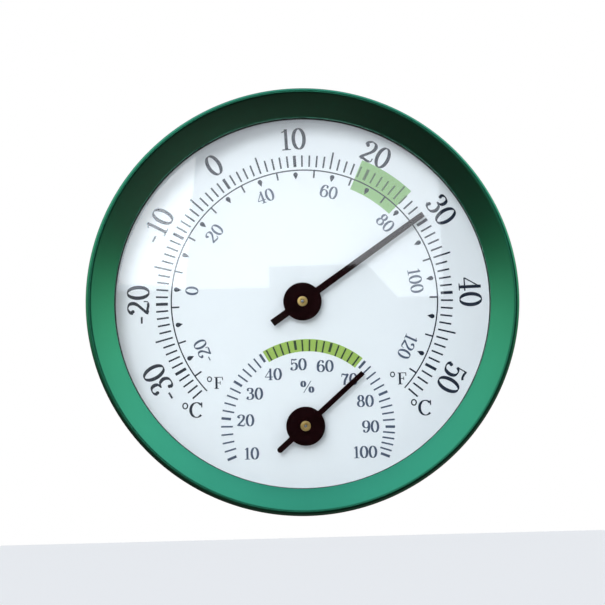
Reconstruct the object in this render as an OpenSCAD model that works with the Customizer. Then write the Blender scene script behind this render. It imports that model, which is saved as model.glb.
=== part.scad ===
// Dial thermo-hygrometer for a wall: a metal-cased dial with a temperature hand at its centre
// and a humidity hand below it. Millimetres.
//
// Every piece is drawn lying on its back, as on a bench: X is right, Y is up the dial, and Z
// is the height above the wall. hang() then stands it upright, with the dial facing -Y, up
// along +Z, and the origin where the case axis meets the wall.

/* [Case] */
// Outer diameter of the case
case_d = 130; // [110:1:180]
// Depth of the case, from the wall to its front rim
case_depth = 25; // [23:0.5:40]
// Thickness of the aluminium sheet
case_wall = 1; // [0.6:0.1:1.6]
// Inside radius of the fold at the front rim
rim_fold_r = 0.4; // [0.2:0.1:2]
// Diameter of the window in the bezel
window_d = 114; // [90:1:160]
// How far the window's edge lies behind the front rim
bezel_drop = 5; // [2:0.5:6]
// Length of the lip turned back at the window's edge
lip_length = 1.2; // [0.5:0.1:2]

/* [Window] */
// Thickness of the glass
lens_t = 2; // [1:0.1:3]
// Thickness of the seal between lip and glass
seal_t = 0.5; // [0.3:0.1:1]
// Width of the seal
seal_w = 2.5; // [1.5:0.5:3]
// How far the seal shows inside the window's edge
seal_peek = 0.2; // [0:0.1:0.4]
// Gap between the glass and the dial
dial_gap = 4.2; // [4:0.1:7]
// Width of the spacer ring between glass and dial
spacer_w = 5; // [2:0.5:6]
// Gap between the case wall and the pieces stacked inside it
stack_gap = 0.4; // [0.2:0.1:0.8]

/* [Dial] */
// Thickness of the dial plate
dial_t = 0.6; // [0.4:0.1:1]
// Distance from the temperature shaft down to the humidity shaft
hygro_drop = 38.2; // [34:0.1:42]

/* [Hands] */
// Thickness of both hands
hand_t = 0.4; // [0.3:0.05:0.6]
// Height of a hand's back face above the dial
hand_lift = 1.7; // [1.2:0.1:2]
// Diameter of the hub disc on each hand
hub_disc_d = 11.8; // [8:0.1:14]
// Temperature hand: length of the blade
thermo_blade = 46.4; // [30:0.1:50]
// Temperature hand: width of the blade at its hub
thermo_blade_w = 2.2; // [1:0.1:4]
// Temperature hand: width of the blade at its tip
thermo_tip_w = 1.7; // [0.6:0.1:4]
// Temperature hand: degrees from straight up, clockwise
thermo_angle = 55.2; // [-129:0.1:131]
// Humidity hand: length of the blade
hygro_blade = 23.8; // [15:0.1:26]
// Humidity hand: width of the blade at its hub
hygro_blade_w = 1.8; // [1:0.1:3]
// Humidity hand: width of the blade at its tip
hygro_tip_w = 1.5; // [0.6:0.1:3]
// Humidity hand: degrees from straight up, clockwise
hygro_angle = 48.5; // [-112:0.1:112]
// Length of the tail on each hand
tail = 11.4; // [6:0.1:12]

/* [Movements] */
// Diameter of each steel shaft
arbor_d = 1; // [0.8:0.1:1.4]
// Gap round a shaft that turns in a bush
shaft_gap = 0.03; // [0.02:0.01:0.06]
// Diameter of the brass collet that holds a hand
collet_d = 3.1; // [2.4:0.1:4]
// Thickness of the strip that each frame is bent from
frame_t = 0.8; // [0.5:0.1:1]
// Width of that strip
frame_w = 7; // [6:0.5:9]
// Turns in the temperature coil
thermo_turns = 6; // [4:1:7]
// Outer radius of the temperature coil
thermo_coil_r = 6; // [5.5:0.1:8]
// Turns in the humidity coil
hygro_turns = 7; // [4:1:8]
// Outer radius of the humidity coil
hygro_coil_r = 8; // [7:0.1:9]
// Thickness of the coils' strip
strip_t = 0.25; // [0.15:0.05:0.3]
// Width of the coils' strip
strip_w = 3.2; // [2:0.1:3.4]
// Diameter of the slotted head that sets a hand
adjuster_d = 6.4; // [5:0.1:8]

/* [Back cover] */
// Thickness of the cover's plate
cover_t = 2; // [1.5:0.1:2.5]
// Thickness of the cover's rim
cover_rim_t = 2.4; // [1.5:0.1:4]
// Gap between the cover and the case wall
cover_gap = 0.15; // [0.1:0.05:0.3]
// Height of the keyhole's round end above the case axis
keyhole_y = 42; // [36:0.5:44]
// Diameter of the keyhole's round end
keyhole_d = 9; // [7:0.5:10]
// Width of the keyhole's slot
keyhole_slot_w = 5; // [3:0.5:5]
// Length of the keyhole's slot above its round end
keyhole_slot = 9; // [5:0.5:12]
// Diameter of the holes that a screwdriver goes through
access_d = 7; // [5.5:0.5:9]
// Number of vent slots above, and below, the case axis
vents = 5; // [2:1:5]
// Length of a vent slot
vent_l = 40; // [20:1:60]
// Width of a vent slot
vent_w = 2; // [1:0.1:2.5]
// Distance from one vent slot to the next
vent_pitch = 4.5; // [4:0.1:5]

/* [Case screws] */
// Number of screws through the case's side wall
screws = 3; // [2:1:6]
// Diameter of a screw's shank
screw_d = 2; // [1.6:0.1:2.6]
// Diameter of a screw's countersunk head
screw_head_d = 3.8; // [3.4:0.1:4.6]
// Length of a screw
screw_l = 5; // [4:0.5:8]
// Height of the screws above the wall
screw_z = 6; // [4:0.5:8]

/* [Hidden] */
$fn = 64;

case_r = case_d / 2;
window_r = window_d / 2;
arbor_r = arbor_d / 2;
stack_r = case_r - case_wall - stack_gap;

// The stack from the front rim down to the wall
window_z = case_depth - bezel_drop;
lip_z = window_z - lip_length;
lens_front_z = lip_z - seal_t;
lens_back_z = lens_front_z - lens_t;
dial_front_z = lens_back_z - dial_gap;
dial_back_z = dial_front_z - dial_t;

// A movement from the dial down to the wall
bush_rim = 0.3;
end_play = 0.3;
side_play = 0.1;
bush_flare = 0.4;
bush_r = arbor_r + 1.4;
frame_front_z = dial_back_z - frame_t;
hub_front_z = frame_front_z - bush_flare - end_play;
hub_back_z = hub_front_z - strip_w;
arm_t = 0.6;
arm_front_z = hub_back_z - end_play;
arm_back_z = arm_front_z - arm_t;
frame_back_z = arm_back_z - side_play - frame_t;
washer_t = 0.3;
head_t = 1.3;
head_front_z = frame_back_z - washer_t;
head_back_z = head_front_z - head_t;
slot_depth = 0.6;
slot_w = 0.9;
floor_t = 0.2;
arbor_back_z = head_back_z + slot_depth + floor_t + side_play;

// Pieces round a shaft
hub_r = arbor_r + 1;
stub_r = arbor_r + 1;
adjuster_r = adjuster_d / 2;
frame_pad_r = frame_w / 2 + 0.5;
web_gap = 1.2;
post_w = 1.6;
post_gap = 0.12;
post_outer_wall = 0.5;
anchor_angle = 200;
coil_gap = 0.06;
coil_steps = 36;

// The front end of a shaft and its hand
hand_z = dial_front_z + hand_lift;
collet_tail = 0.7;
collet_nose = 0.7;
arbor_recess = 0.4;
collet_front_z = hand_z + hand_t + collet_nose;

thermo_at = 0;
hygro_at = -hygro_drop;
first_vent_y = 9;
screw_angles = [for (i = [0 : screws - 1]) 90 + i * 360 / screws];
cut = 0.5;

// ---------- shapes used more than once ----------

module hang() rotate([90, 0, 0]) children();

module at_shaft(y) translate([0, y, 0]) children();

// A tube, or a washer, between two heights.
module tube(z0, z1, outer, inner) {
    translate([0, 0, z0])
        difference() {
            cylinder(h = z1 - z0, r = outer);
            translate([0, 0, -cut]) cylinder(h = z1 - z0 + 2 * cut, r = inner);
        }
}

module rod(z0, z1, r) {
    translate([0, 0, z0]) cylinder(h = z1 - z0, r = r);
}

function arc(centre, r, from, to, steps) =
    [for (i = [0 : steps]) let (a = from + (to - from) * i / steps)
        centre + r * [cos(a), sin(a)]];

function coil_inner_r() = hub_r + coil_gap + strip_t / 2;

// How far a coil's middle line moves out in one turn
function coil_pitch(coil_r, turns) = (coil_r - coil_inner_r()) / turns;

function reversed(points) = [for (i = [len(points) - 1 : -1 : 0]) points[i]];

// A point on a coil's middle line, a turns from its inner end.
function on_coil(a, turns, inner, outer, side) =
    let (turn = anchor_angle + 360 * (a - turns),
         r = inner + (outer - inner) * a / turns + side)
    r * [cos(turn), sin(turn)];

// ---------- case, window and dial ----------

// Half section of the case sheet: side wall, folded rim, funnel and lip.
function case_section() =
    let (
        fold = rim_fold_r + case_wall,
        centre = [case_r - fold, case_depth - fold],
        edge = [window_r, window_z],
        span = norm(centre - edge),
        slope = atan2(centre[1] - edge[1], centre[0] - edge[0]) + asin(fold / span),
        lip_r = window_r + case_wall,
        inner_edge_z = window_z + case_wall * (tan(slope) - 1 / cos(slope))
    )
    concat(
        [[case_r, 0]],
        arc(centre, fold, 0, 90 + slope, 12),
        [edge, [window_r, lip_z], [lip_r, lip_z], [lip_r, inner_edge_z]],
        reversed(arc(centre, rim_fold_r, 0, 90 + slope, 6)),
        [[case_r - case_wall, 0]]
    );

// Places its children on each screw's axis, which points out of the case.
module at_screws() {
    for (a = screw_angles)
        rotate([0, 0, a]) translate([case_r, 0, screw_z]) rotate([0, 90, 0]) children();
}

head_h = (screw_head_d - screw_d) / 2;
head_sink = 0.1;

module case_shell() {
    color([0.19, 0.55, 0.45])
        hang() difference() {
            rotate_extrude($fn = 180) polygon(case_section());
            at_screws() {
                translate([0, 0, -head_h - head_sink])
                    cylinder(h = head_h, d1 = screw_d + 0.1, d2 = screw_head_d + 0.1);
                translate([0, 0, -head_sink - 0.01]) cylinder(h = 1, d = screw_head_d + 0.1);
                translate([0, 0, -screw_l]) cylinder(h = screw_l, d = screw_d + 0.1);
            }
        }
}

module lens_seal() {
    color([0.12, 0.12, 0.12])
        hang() tube(lens_front_z, lip_z, window_r + case_wall + seal_w, window_r - seal_peek, $fn = 128);
}

module lens() {
    color([0.85, 0.93, 0.95, 0.3]) hang() rod(lens_back_z, lens_front_z, stack_r, $fn = 128);
}

module spacer_ring() {
    color([0.92, 0.93, 0.93])
        hang() tube(dial_front_z, lens_back_z, stack_r, stack_r - spacer_w, $fn = 128);
}

module dial_plate() {
    color([0.95, 0.96, 0.97])
        hang() difference() {
            rod(dial_back_z, dial_front_z, stack_r, $fn = 128);
            for (y = [thermo_at, hygro_at])
                translate([0, y, dial_back_z - cut]) cylinder(h = dial_t + 2 * cut, r = bush_r);
        }
}

// ---------- back cover ----------

module keyhole(h) {
    translate([0, keyhole_y, 0]) cylinder(h = h, d = keyhole_d);
    translate([0, keyhole_y + keyhole_slot, 0]) cylinder(h = h, d = keyhole_slot_w);
    translate([-keyhole_slot_w / 2, keyhole_y, 0]) cube([keyhole_slot_w, keyhole_slot, h]);
}

// A slot with round ends, along X.
module vent(h) {
    straight = vent_l - vent_w;
    translate([-straight / 2, -vent_w / 2, 0]) cube([straight, vent_w, h]);
    for (x = [-straight / 2, straight / 2])
        translate([x, 0, 0]) cylinder(h = h, d = vent_w, $fn = 24);
}

module back_cover() {
    cover_r = case_r - case_wall - cover_gap;
    through = cover_t + 2 * cut;
    color([0.13, 0.13, 0.14])
        hang() difference() {
            rod(0, dial_back_z, cover_r, $fn = 128);
            rod(cover_t, dial_back_z + cut, cover_r - cover_rim_t, $fn = 128);
            translate([0, 0, -cut]) {
                keyhole(through);
                for (y = [thermo_at, hygro_at])
                    translate([0, y, 0]) cylinder(h = through, d = access_d);
                for (side = [-1, 1], i = [0 : vents - 1])
                    translate([0, side * (first_vent_y + i * vent_pitch), 0]) vent(through);
            }
            at_screws() {
                translate([0, 0, -screw_l - 0.1]) cylinder(h = screw_l + 1, d = screw_d + 0.1);
                translate([0, 0, -head_h - head_sink])
                    cylinder(h = head_h, d1 = screw_d + 0.1, d2 = screw_head_d + 0.1);
            }
        }
}

module case_screws() {
    color([0.7, 0.7, 0.7])
        hang() at_screws()
            difference() {
                union() {
                    translate([0, 0, -screw_l]) cylinder(h = screw_l - head_h - head_sink + 0.01,
                                                         d = screw_d);
                    translate([0, 0, -head_h - head_sink])
                        cylinder(h = head_h, d1 = screw_d, d2 = screw_head_d);
                }
                for (turn = [0, 90])
                    rotate([0, 0, turn])
                        translate([-screw_head_d / 3, -0.25, -head_sink - 0.5])
                            cube([screw_head_d / 1.5, 0.5, 1]);
            }
}

// ---------- a movement: the same pieces for temperature and humidity ----------

// Eyelet riveted through the dial and the frame; the shaft turns in it.
module bush() {
    difference() {
        union() {
            rod(frame_front_z - bush_flare, dial_front_z + bush_rim, bush_r);
            rod(frame_front_z - bush_flare, frame_front_z, bush_r + 0.5);
            rod(dial_front_z, dial_front_z + bush_rim, bush_r + 0.9);
        }
        rod(frame_front_z - bush_flare - cut, dial_front_z + bush_rim + cut,
            arbor_r + shaft_gap, $fn = 32);
    }
}

// One leg of the frame: a round pad on the shaft, and a strip out to the web.
module frame_leg(z, reach, hole_r) {
    difference() {
        union() {
            rod(z, z + frame_t, frame_pad_r);
            translate([0, -frame_w / 2, z]) cube([reach, frame_w, frame_t]);
        }
        rod(z - cut, z + frame_t + cut, hole_r);
    }
}

// Strip bent to a U: the front leg lies on the dial, and the back leg carries the adjuster.
module frame(coil_r) {
    reach = coil_r + web_gap + frame_t;
    frame_leg(frame_front_z, reach, bush_r);
    frame_leg(frame_back_z, reach, stub_r + shaft_gap);
    translate([reach - frame_t, -frame_w / 2, frame_back_z])
        cube([frame_t, frame_w, dial_back_z - frame_back_z]);
}

module friction_washer() {
    tube(head_front_z, frame_back_z, adjuster_r - 0.3, stub_r + 0.1);
}

// Slotted head and hollow stub; the shaft's back end turns in the stub.
module adjuster() {
    difference() {
        union() {
            rod(head_back_z, head_front_z, adjuster_r);
            rod(head_back_z, arm_front_z, stub_r);
        }
        translate([-adjuster_r - cut, -slot_w / 2, head_back_z - cut])
            cube([adjuster_d + 2 * cut, slot_w, slot_depth + cut]);
        rod(head_back_z + slot_depth + floor_t, arm_front_z + cut, arbor_r + shaft_gap, $fn = 32);
    }
}

// Arm pressed on the adjuster's stub; its slotted post holds the coil's outer end. The post's
// inner wall stands midway between the end of the coil and the turn before it.
module anchor_arm(coil_r, turns) {
    slot_in = coil_r - strip_t / 2 - post_gap;
    slot_out = coil_r + strip_t / 2 + post_gap;
    post_in = slot_in - (coil_pitch(coil_r, turns) - strip_t - post_gap) / 2;
    post_out = slot_out + post_outer_wall;
    post_h = hub_front_z - arm_front_z;
    rotate([0, 0, anchor_angle])
        difference() {
            union() {
                rod(arm_back_z, arm_front_z, stub_r + 1);
                translate([0, -post_w / 2, arm_back_z]) cube([post_out, post_w, arm_t]);
                translate([post_in, -post_w / 2, arm_front_z])
                    cube([post_out - post_in, post_w, post_h]);
            }
            rod(arm_back_z - cut, arm_front_z + cut, stub_r);
            translate([slot_in, -post_w / 2 - cut, arm_front_z])
                cube([slot_out - slot_in, post_w + 2 * cut, post_h + cut]);
        }
}

// Flat strip wound in a spiral from the hub out to the anchor arm's post.
module coil(coil_r, turns) {
    last = turns * coil_steps;
    sides = [for (side = [strip_t / 2, -strip_t / 2])
        [for (i = [0 : last]) on_coil(i / coil_steps, turns, coil_inner_r(), coil_r, side)]];
    translate([0, 0, hub_back_z])
        linear_extrude(strip_w) polygon(concat(sides[0], reversed(sides[1])));
}

module coil_hub() {
    tube(hub_back_z, hub_front_z, hub_r, arbor_r);
}

module arbor() {
    rod(arbor_back_z, collet_front_z - arbor_recess, arbor_r);
}

module collet() {
    tube(hand_z - collet_tail, collet_front_z, collet_d / 2, arbor_r);
}

// Hub disc, tapered blade and tail, stamped from one sheet. The tail's end is square or round.
module pointer(blade, hub_w, tip_w, angle, round_tail) {
    rotate([0, 0, -angle])
        translate([0, 0, hand_z])
            linear_extrude(hand_t)
                difference() {
                    union() {
                        circle(d = hub_disc_d);
                        polygon([[-hub_w / 2, 0], [hub_w / 2, 0], [tip_w / 2, blade],
                                 [-tip_w / 2, blade]]);
                        tail_end = round_tail ? tail - hub_w / 2 : tail;
                        translate([-hub_w / 2, -tail_end]) square([hub_w, tail_end]);
                        if (round_tail) translate([0, -tail_end]) circle(d = hub_w);
                    }
                    circle(d = collet_d);
                }
}

module brass() color([0.72, 0.6, 0.36]) hang() children();
module steel() color([0.6, 0.61, 0.63]) hang() children();
module black() color([0.1, 0.05, 0.06]) hang() children();

module thermo_bush() brass() at_shaft(thermo_at) bush();
module thermo_frame() steel() at_shaft(thermo_at) frame(thermo_coil_r);
module thermo_friction_washer() steel() at_shaft(thermo_at) friction_washer();
module thermo_adjuster() brass() at_shaft(thermo_at) adjuster();
module thermo_anchor_arm() steel() at_shaft(thermo_at) anchor_arm(thermo_coil_r, thermo_turns);
module thermo_coil() steel() at_shaft(thermo_at) coil(thermo_coil_r, thermo_turns);
module thermo_coil_hub() brass() at_shaft(thermo_at) coil_hub();
module thermo_arbor() steel() at_shaft(thermo_at) arbor();
module thermo_collet() brass() at_shaft(thermo_at) collet();
module thermo_pointer()
    black() at_shaft(thermo_at)
        pointer(thermo_blade, thermo_blade_w, thermo_tip_w, thermo_angle, round_tail = false);

module hygro_bush() brass() at_shaft(hygro_at) bush();
module hygro_frame() steel() at_shaft(hygro_at) frame(hygro_coil_r);
module hygro_friction_washer() steel() at_shaft(hygro_at) friction_washer();
module hygro_adjuster() brass() at_shaft(hygro_at) adjuster();
module hygro_anchor_arm() steel() at_shaft(hygro_at) anchor_arm(hygro_coil_r, hygro_turns);
module hygro_coil() steel() at_shaft(hygro_at) coil(hygro_coil_r, hygro_turns);
module hygro_coil_hub() brass() at_shaft(hygro_at) coil_hub();
module hygro_arbor() steel() at_shaft(hygro_at) arbor();
module hygro_collet() brass() at_shaft(hygro_at) collet();
module hygro_pointer()
    black() at_shaft(hygro_at)
        pointer(hygro_blade, hygro_blade_w, hygro_tip_w, hygro_angle, round_tail = true);

case_shell();
lens_seal();
lens();
spacer_ring();
dial_plate();
back_cover();
case_screws();
thermo_bush();
thermo_frame();
thermo_friction_washer();
thermo_adjuster();
thermo_anchor_arm();
thermo_coil();
thermo_coil_hub();
thermo_arbor();
thermo_collet();
thermo_pointer();
hygro_bush();
hygro_frame();
hygro_friction_washer();
hygro_adjuster();
hygro_anchor_arm();
hygro_coil();
hygro_coil_hub();
hygro_arbor();
hygro_collet();
hygro_pointer();
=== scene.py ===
import math

import bmesh
import bpy
from bpy.props import (
    FloatProperty,
    FloatVectorProperty,
    IntProperty,
    PointerProperty,
)
from mathutils import Euler, Matrix, Vector, geometry
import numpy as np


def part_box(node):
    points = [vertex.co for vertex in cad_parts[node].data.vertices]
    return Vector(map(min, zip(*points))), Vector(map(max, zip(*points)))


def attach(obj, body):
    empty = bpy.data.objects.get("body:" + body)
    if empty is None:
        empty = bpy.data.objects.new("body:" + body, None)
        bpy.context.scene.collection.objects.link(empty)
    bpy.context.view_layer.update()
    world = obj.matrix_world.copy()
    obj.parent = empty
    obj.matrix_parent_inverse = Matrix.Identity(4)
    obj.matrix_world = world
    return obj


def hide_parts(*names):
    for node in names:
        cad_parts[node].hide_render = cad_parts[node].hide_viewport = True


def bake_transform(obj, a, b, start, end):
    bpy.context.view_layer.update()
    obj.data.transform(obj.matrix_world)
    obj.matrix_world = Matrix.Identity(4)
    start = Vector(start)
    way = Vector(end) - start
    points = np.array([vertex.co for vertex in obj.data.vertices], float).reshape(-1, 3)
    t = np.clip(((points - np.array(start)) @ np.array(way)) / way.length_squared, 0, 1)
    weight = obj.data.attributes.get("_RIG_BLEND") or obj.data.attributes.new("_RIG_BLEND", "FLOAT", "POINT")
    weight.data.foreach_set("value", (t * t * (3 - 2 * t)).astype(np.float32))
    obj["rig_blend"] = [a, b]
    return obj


bl_info = {
    "name": "Dial thermo-hygrometer",
    "version": (1, 0, 0),
    "blender": (4, 5, 0),
    "location": "3D View > Sidebar > Dial",
    "description": "Builds the looks of a round wall thermometer and hygrometer round its frame",
    "category": "Object",
}

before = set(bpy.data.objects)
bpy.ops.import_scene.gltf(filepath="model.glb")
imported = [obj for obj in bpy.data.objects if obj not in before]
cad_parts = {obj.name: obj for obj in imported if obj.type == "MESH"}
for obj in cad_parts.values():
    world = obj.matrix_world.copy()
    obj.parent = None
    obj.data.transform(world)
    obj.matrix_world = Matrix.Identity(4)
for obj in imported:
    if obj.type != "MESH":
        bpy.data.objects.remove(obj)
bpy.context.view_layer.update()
MM = 0.001
# Points closer than this are one point
DOUBLES = 1e-7


def linear(code):
    """The linear colour of an sRGB hex value such as #F4F6F8."""
    parts = [int(code[i : i + 2], 16) / 255 for i in (1, 3, 5)]
    return [c / 12.92 if c <= 0.04045 else ((c + 0.055) / 1.055) ** 2.4 for c in parts]


def heights(node):
    """How far a CAD node's back and front stand out from the wall."""
    low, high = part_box(node)
    return -high.y, -low.y


def outer_radius(node):
    """Half the width of a round CAD node."""
    low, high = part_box(node)
    return (high.x - low.x) / 2


def shaft_heights():
    """How far the temperature shaft and the humidity shaft stand above the case axis."""
    boxes = [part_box(node) for node in ("thermo_arbor", "hygro_arbor")]
    return [(low.z + high.z) / 2 for low, high in boxes]


def length_property(name, millimetres, description):
    """A length that a user can change, in metres."""
    return FloatProperty(
        name=name,
        description=description,
        default=millimetres * MM,
        unit="LENGTH",
        subtype="DISTANCE",
        precision=5,
    )


def angle_property(name, degrees, description):
    """An angle that a user can change."""
    return FloatProperty(
        name=name, description=description, default=math.radians(degrees), subtype="ANGLE"
    )


def colour_property(name, code, description):
    """A colour that a user can change."""
    return FloatVectorProperty(
        name=name, description=description, default=linear(code), subtype="COLOR", min=0, max=1
    )


# ---------- settings ----------


class CaseSettings(bpy.types.PropertyGroup):
    window_radius: length_property("Window radius", 57, "Radius of the opening in the bezel")
    bezel_drop: length_property("Bezel drop", 5, "How far the window's edge lies behind the rim")
    sheet: length_property("Sheet", 1, "Thickness of the aluminium sheet")
    fold_radius: length_property("Fold radius", 0.15, "Inside radius of the fold at the rim")
    lip: length_property("Lip", 1.2, "Length of the lip at the window's edge")
    edge_round: length_property("Edge rounding", 0.25, "Rounding of the window's edge")
    seam: length_property("Glass seam", 0.25, "Width of the bevel round the glass")
    spacer_width: length_property("Spacer width", 5, "Width of the ring that holds the glass off")
    steps: IntProperty(name="Steps", description="Facets round the case", default=288)
    dye: colour_property("Dye", "#2F8A6C", "Colour of the anodised finish")


class DialSettings(bpy.types.PropertyGroup):
    print_right: length_property("Print right", 0.6, "How far the print sits right of the shaft")
    print_up: length_property("Print up", 1.0, "How far the print sits above the shaft")
    humidity_right: length_property(
        "Humidity print right", 0.7, "How far the humidity print sits right of its shaft"
    )
    humidity_up: length_property(
        "Humidity print up", 0.2, "How far the humidity print sits above its shaft"
    )
    arc_radius: length_property("Arc radius", 41.05, "Radius of the line between the two scales")
    ink_height: length_property("Ink height", 0.03, "Thickness of the printed ink")
    enamel: colour_property("Enamel", "#F7F5FA", "Colour of the dial")
    black_ink: colour_property("Black ink", "#06152E", "Colour of the numerals and the marks")
    grey_ink: colour_property("Grey ink", "#48526A", "Colour of the fine numerals")
    warm_green: colour_property("Comfort band", "#93BC7A", "Green of the temperature band")
    humid_green: colour_property("Humidity band", "#9CB94B", "Green of the humidity band")


class HandSettings(bpy.types.PropertyGroup):
    thermo_bearing: angle_property("Temperature hand", 55.2, "Clockwise from straight up")
    hygro_bearing: angle_property("Humidity hand", 48.5, "Clockwise from straight up")
    thermo_blade: length_property("Temperature blade", 46.4, "Length of the temperature hand")
    thermo_width: length_property("Temperature width", 2.2, "Its width at the hub")
    thermo_tip: length_property("Temperature tip", 1.7, "Its width at the tip")
    hygro_blade: length_property("Humidity blade", 23.8, "Length of the humidity hand")
    hygro_width: length_property("Humidity width", 1.8, "Its width at the hub")
    hygro_tip: length_property("Humidity tip", 1.5, "Its width at the tip")
    hub_disc: length_property("Hub disc", 5.9, "Radius of the disc on each hand")
    tail: length_property("Tail", 11.4, "Length of the tail on each hand")
    edge_round: length_property("Edge rounding", 0.08, "Rounding of a stamped edge")
    # The brown cast in this colour is a painted reflection; the lacquer itself is near black
    lacquer: colour_property("Lacquer", "#140406", "Colour of the hands")


class MovementSettings(bpy.types.PropertyGroup):
    thermo_turns: IntProperty(
        name="Temperature turns", description="Turns in the temperature coil", default=6
    )
    hygro_turns: IntProperty(
        name="Humidity turns", description="Turns in the humidity coil", default=7
    )
    thermo_radius: length_property("Temperature coil", 6, "Outer radius of the temperature coil")
    hygro_radius: length_property("Humidity coil", 8, "Outer radius of the humidity coil")
    strip: length_property("Strip", 0.25, "Thickness of the coils' strip")
    anchor_angle: angle_property("Anchor", 200, "Where each coil's outer end is held")


class CoverSettings(bpy.types.PropertyGroup):
    plate: length_property("Plate", 2, "Thickness of the cover's plate")
    rim: length_property("Rim", 2.4, "Thickness of the cover's rim")
    keyhole_up: length_property("Keyhole height", 42, "Height of the keyhole above the axis")
    keyhole_radius: length_property("Keyhole radius", 4.5, "Radius of the keyhole's round end")
    keyhole_slot: length_property("Keyhole slot", 9, "Length of the keyhole's slot")
    keyhole_width: length_property("Slot width", 5, "Width of the keyhole's slot")
    access_radius: length_property("Access hole", 3.5, "Radius of the screwdriver holes")
    vents: IntProperty(name="Vents", description="Vent slots above, and below, the axis", default=5)
    first_vent: length_property("First vent", 9, "Distance from the axis to the first vent")
    vent_pitch: length_property("Vent pitch", 4.5, "Distance from one vent to the next")
    vent_length: length_property("Vent length", 40, "Length of a vent")
    vent_width: length_property("Vent width", 2, "Width of a vent")
    screws: IntProperty(name="Screws", description="Screws through the case wall", default=3)
    screw_height: length_property("Screw height", 6, "Height of the screws above the wall")
    screw_radius: length_property("Screw radius", 1, "Radius of a screw's shank")
    head_radius: length_property("Head radius", 1.9, "Radius of a screw's countersunk head")
    screw_length: length_property("Screw length", 5, "Length of a screw")
    plastic: colour_property("Plastic", "#232427", "Colour of the back cover")


class StageSettings(bpy.types.PropertyGroup):
    distance: length_property("Distance", 411.5, "From the camera to the back of the case")
    elevation: angle_property("Elevation", -9.1, "How far the camera stands above the axis")
    roll: angle_property("Roll", 1.5, "How far the camera is turned clockwise")
    lens: FloatProperty(name="Lens", description="Focal length in millimetres", default=77.0)
    aim_up: length_property("Aim", 2.1, "How far above the axis the camera looks")
    key: FloatProperty(name="Key", description="Power of the key light in watts", default=1.2)
    room: FloatProperty(name="Room", description="Brightness of the room overhead", default=1.6)
    window: FloatProperty(name="Window", description="Brightness of the window card", default=1.95)


# ---------- nodes ----------


def add_node(tree, kind, settings=(), inputs=()):
    """Adds a node with its settings, and sets or links its inputs."""
    new = tree.nodes.new(kind)
    for name, value in dict(settings).items():
        setattr(new, name, value)
    for name, value in dict(inputs).items():
        if isinstance(value, bpy.types.NodeSocket):
            tree.links.new(value, new.inputs[name])
        else:
            new.inputs[name].default_value = value
    return new


def calculate(tree, operation, *values):
    """One step of arithmetic in a tree."""
    return add_node(
        tree, "ShaderNodeMath", {"operation": operation}, dict(enumerate(values))
    ).outputs[0]


def vector(tree, x=0.0, y=0.0, z=0.0):
    """A vector from three numbers or sockets."""
    return add_node(tree, "ShaderNodeCombineXYZ", (), {"X": x, "Y": y, "Z": z}).outputs[0]


def ramp(tree, value, start, end, low, high, shape="LINEAR"):
    """Carries a value from one range to another, and holds it at the ends."""
    settings = {"interpolation_type": shape}
    inputs = {"Value": value, "From Min": start, "From Max": end, "To Min": low, "To Max": high}
    return add_node(tree, "ShaderNodeMapRange", settings, inputs).outputs["Result"]


def blend_colours(tree, factor, first, second):
    """A mix of two colours, each linear numbers or a socket."""
    first, second = (c if isinstance(c, bpy.types.NodeSocket) else (*c, 1) for c in (first, second))
    inputs = {0: factor, 6: first, 7: second}
    return add_node(tree, "ShaderNodeMix", {"data_type": "RGBA"}, inputs).outputs[2]


def noise(tree, place, size, detail, roughness=0.5):
    """Noise whose lumps are about a given size in metres."""
    inputs = {"Vector": place, "Scale": 1 / size, "Detail": detail, "Roughness": roughness}
    return add_node(tree, "ShaderNodeTexNoise", (), inputs).outputs["Fac"]


def stretched(tree, place, scale):
    """Coordinates scaled, so that noise on them draws out into lines."""
    inputs = {"Vector": place, "Scale": scale}
    return add_node(tree, "ShaderNodeMapping", (), inputs).outputs["Vector"]


# ---------- finishes ----------


def new_finish(name, surface):
    """A material with its Principled BSDF set. Returns material, tree, shader and coordinates."""
    material = bpy.data.materials.new(name)
    material.use_nodes = True
    tree = material.node_tree
    shader = tree.nodes["Principled BSDF"]
    for socket, value in surface.items():
        shader.inputs[socket].default_value = value
    coordinates = add_node(tree, "ShaderNodeTexCoord")
    return material, tree, shader, coordinates.outputs["Object"]


def tint(tree, shader, factor, first, second):
    """Varies the base colour between two linear colours."""
    tree.links.new(blend_colours(tree, factor, first, second), shader.inputs["Base Color"])


def vary(tree, shader, factor, low, high):
    """Varies the roughness between two values."""
    tree.links.new(ramp(tree, factor, 0.0, 1.0, low, high), shader.inputs["Roughness"])


def roughen(tree, shader, height, depth):
    """Adds relief of a real depth in metres."""
    bump = add_node(tree, "ShaderNodeBump", (), {"Height": height, "Distance": depth})
    tree.links.new(bump.outputs["Normal"], shader.inputs["Normal"])


def lathe_lines(tree, coordinates, centre_z, pitch):
    """Fine rings round the shaft at centre_z, as a lathe tool or a spinning wheel leaves."""
    shift = {"Vector": coordinates, "Location": (0, 0, -centre_z)}
    centred = add_node(tree, "ShaderNodeMapping", (), shift).outputs["Vector"]
    flat = add_node(
        tree, "ShaderNodeVectorMath", {"operation": "MULTIPLY"}, {0: centred, 1: (1, 0, 1)}
    )
    radius = add_node(
        tree, "ShaderNodeVectorMath", {"operation": "LENGTH"}, {0: flat.outputs["Vector"]}
    )
    height = add_node(tree, "ShaderNodeSeparateXYZ", (), {0: centred}).outputs["Y"]
    return noise(tree, vector(tree, radius.outputs["Value"], height), pitch, 3, 0.6)


def darker(colour, share):
    """A linear colour made darker by a share."""
    return [c * (1 - share) for c in colour]


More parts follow.
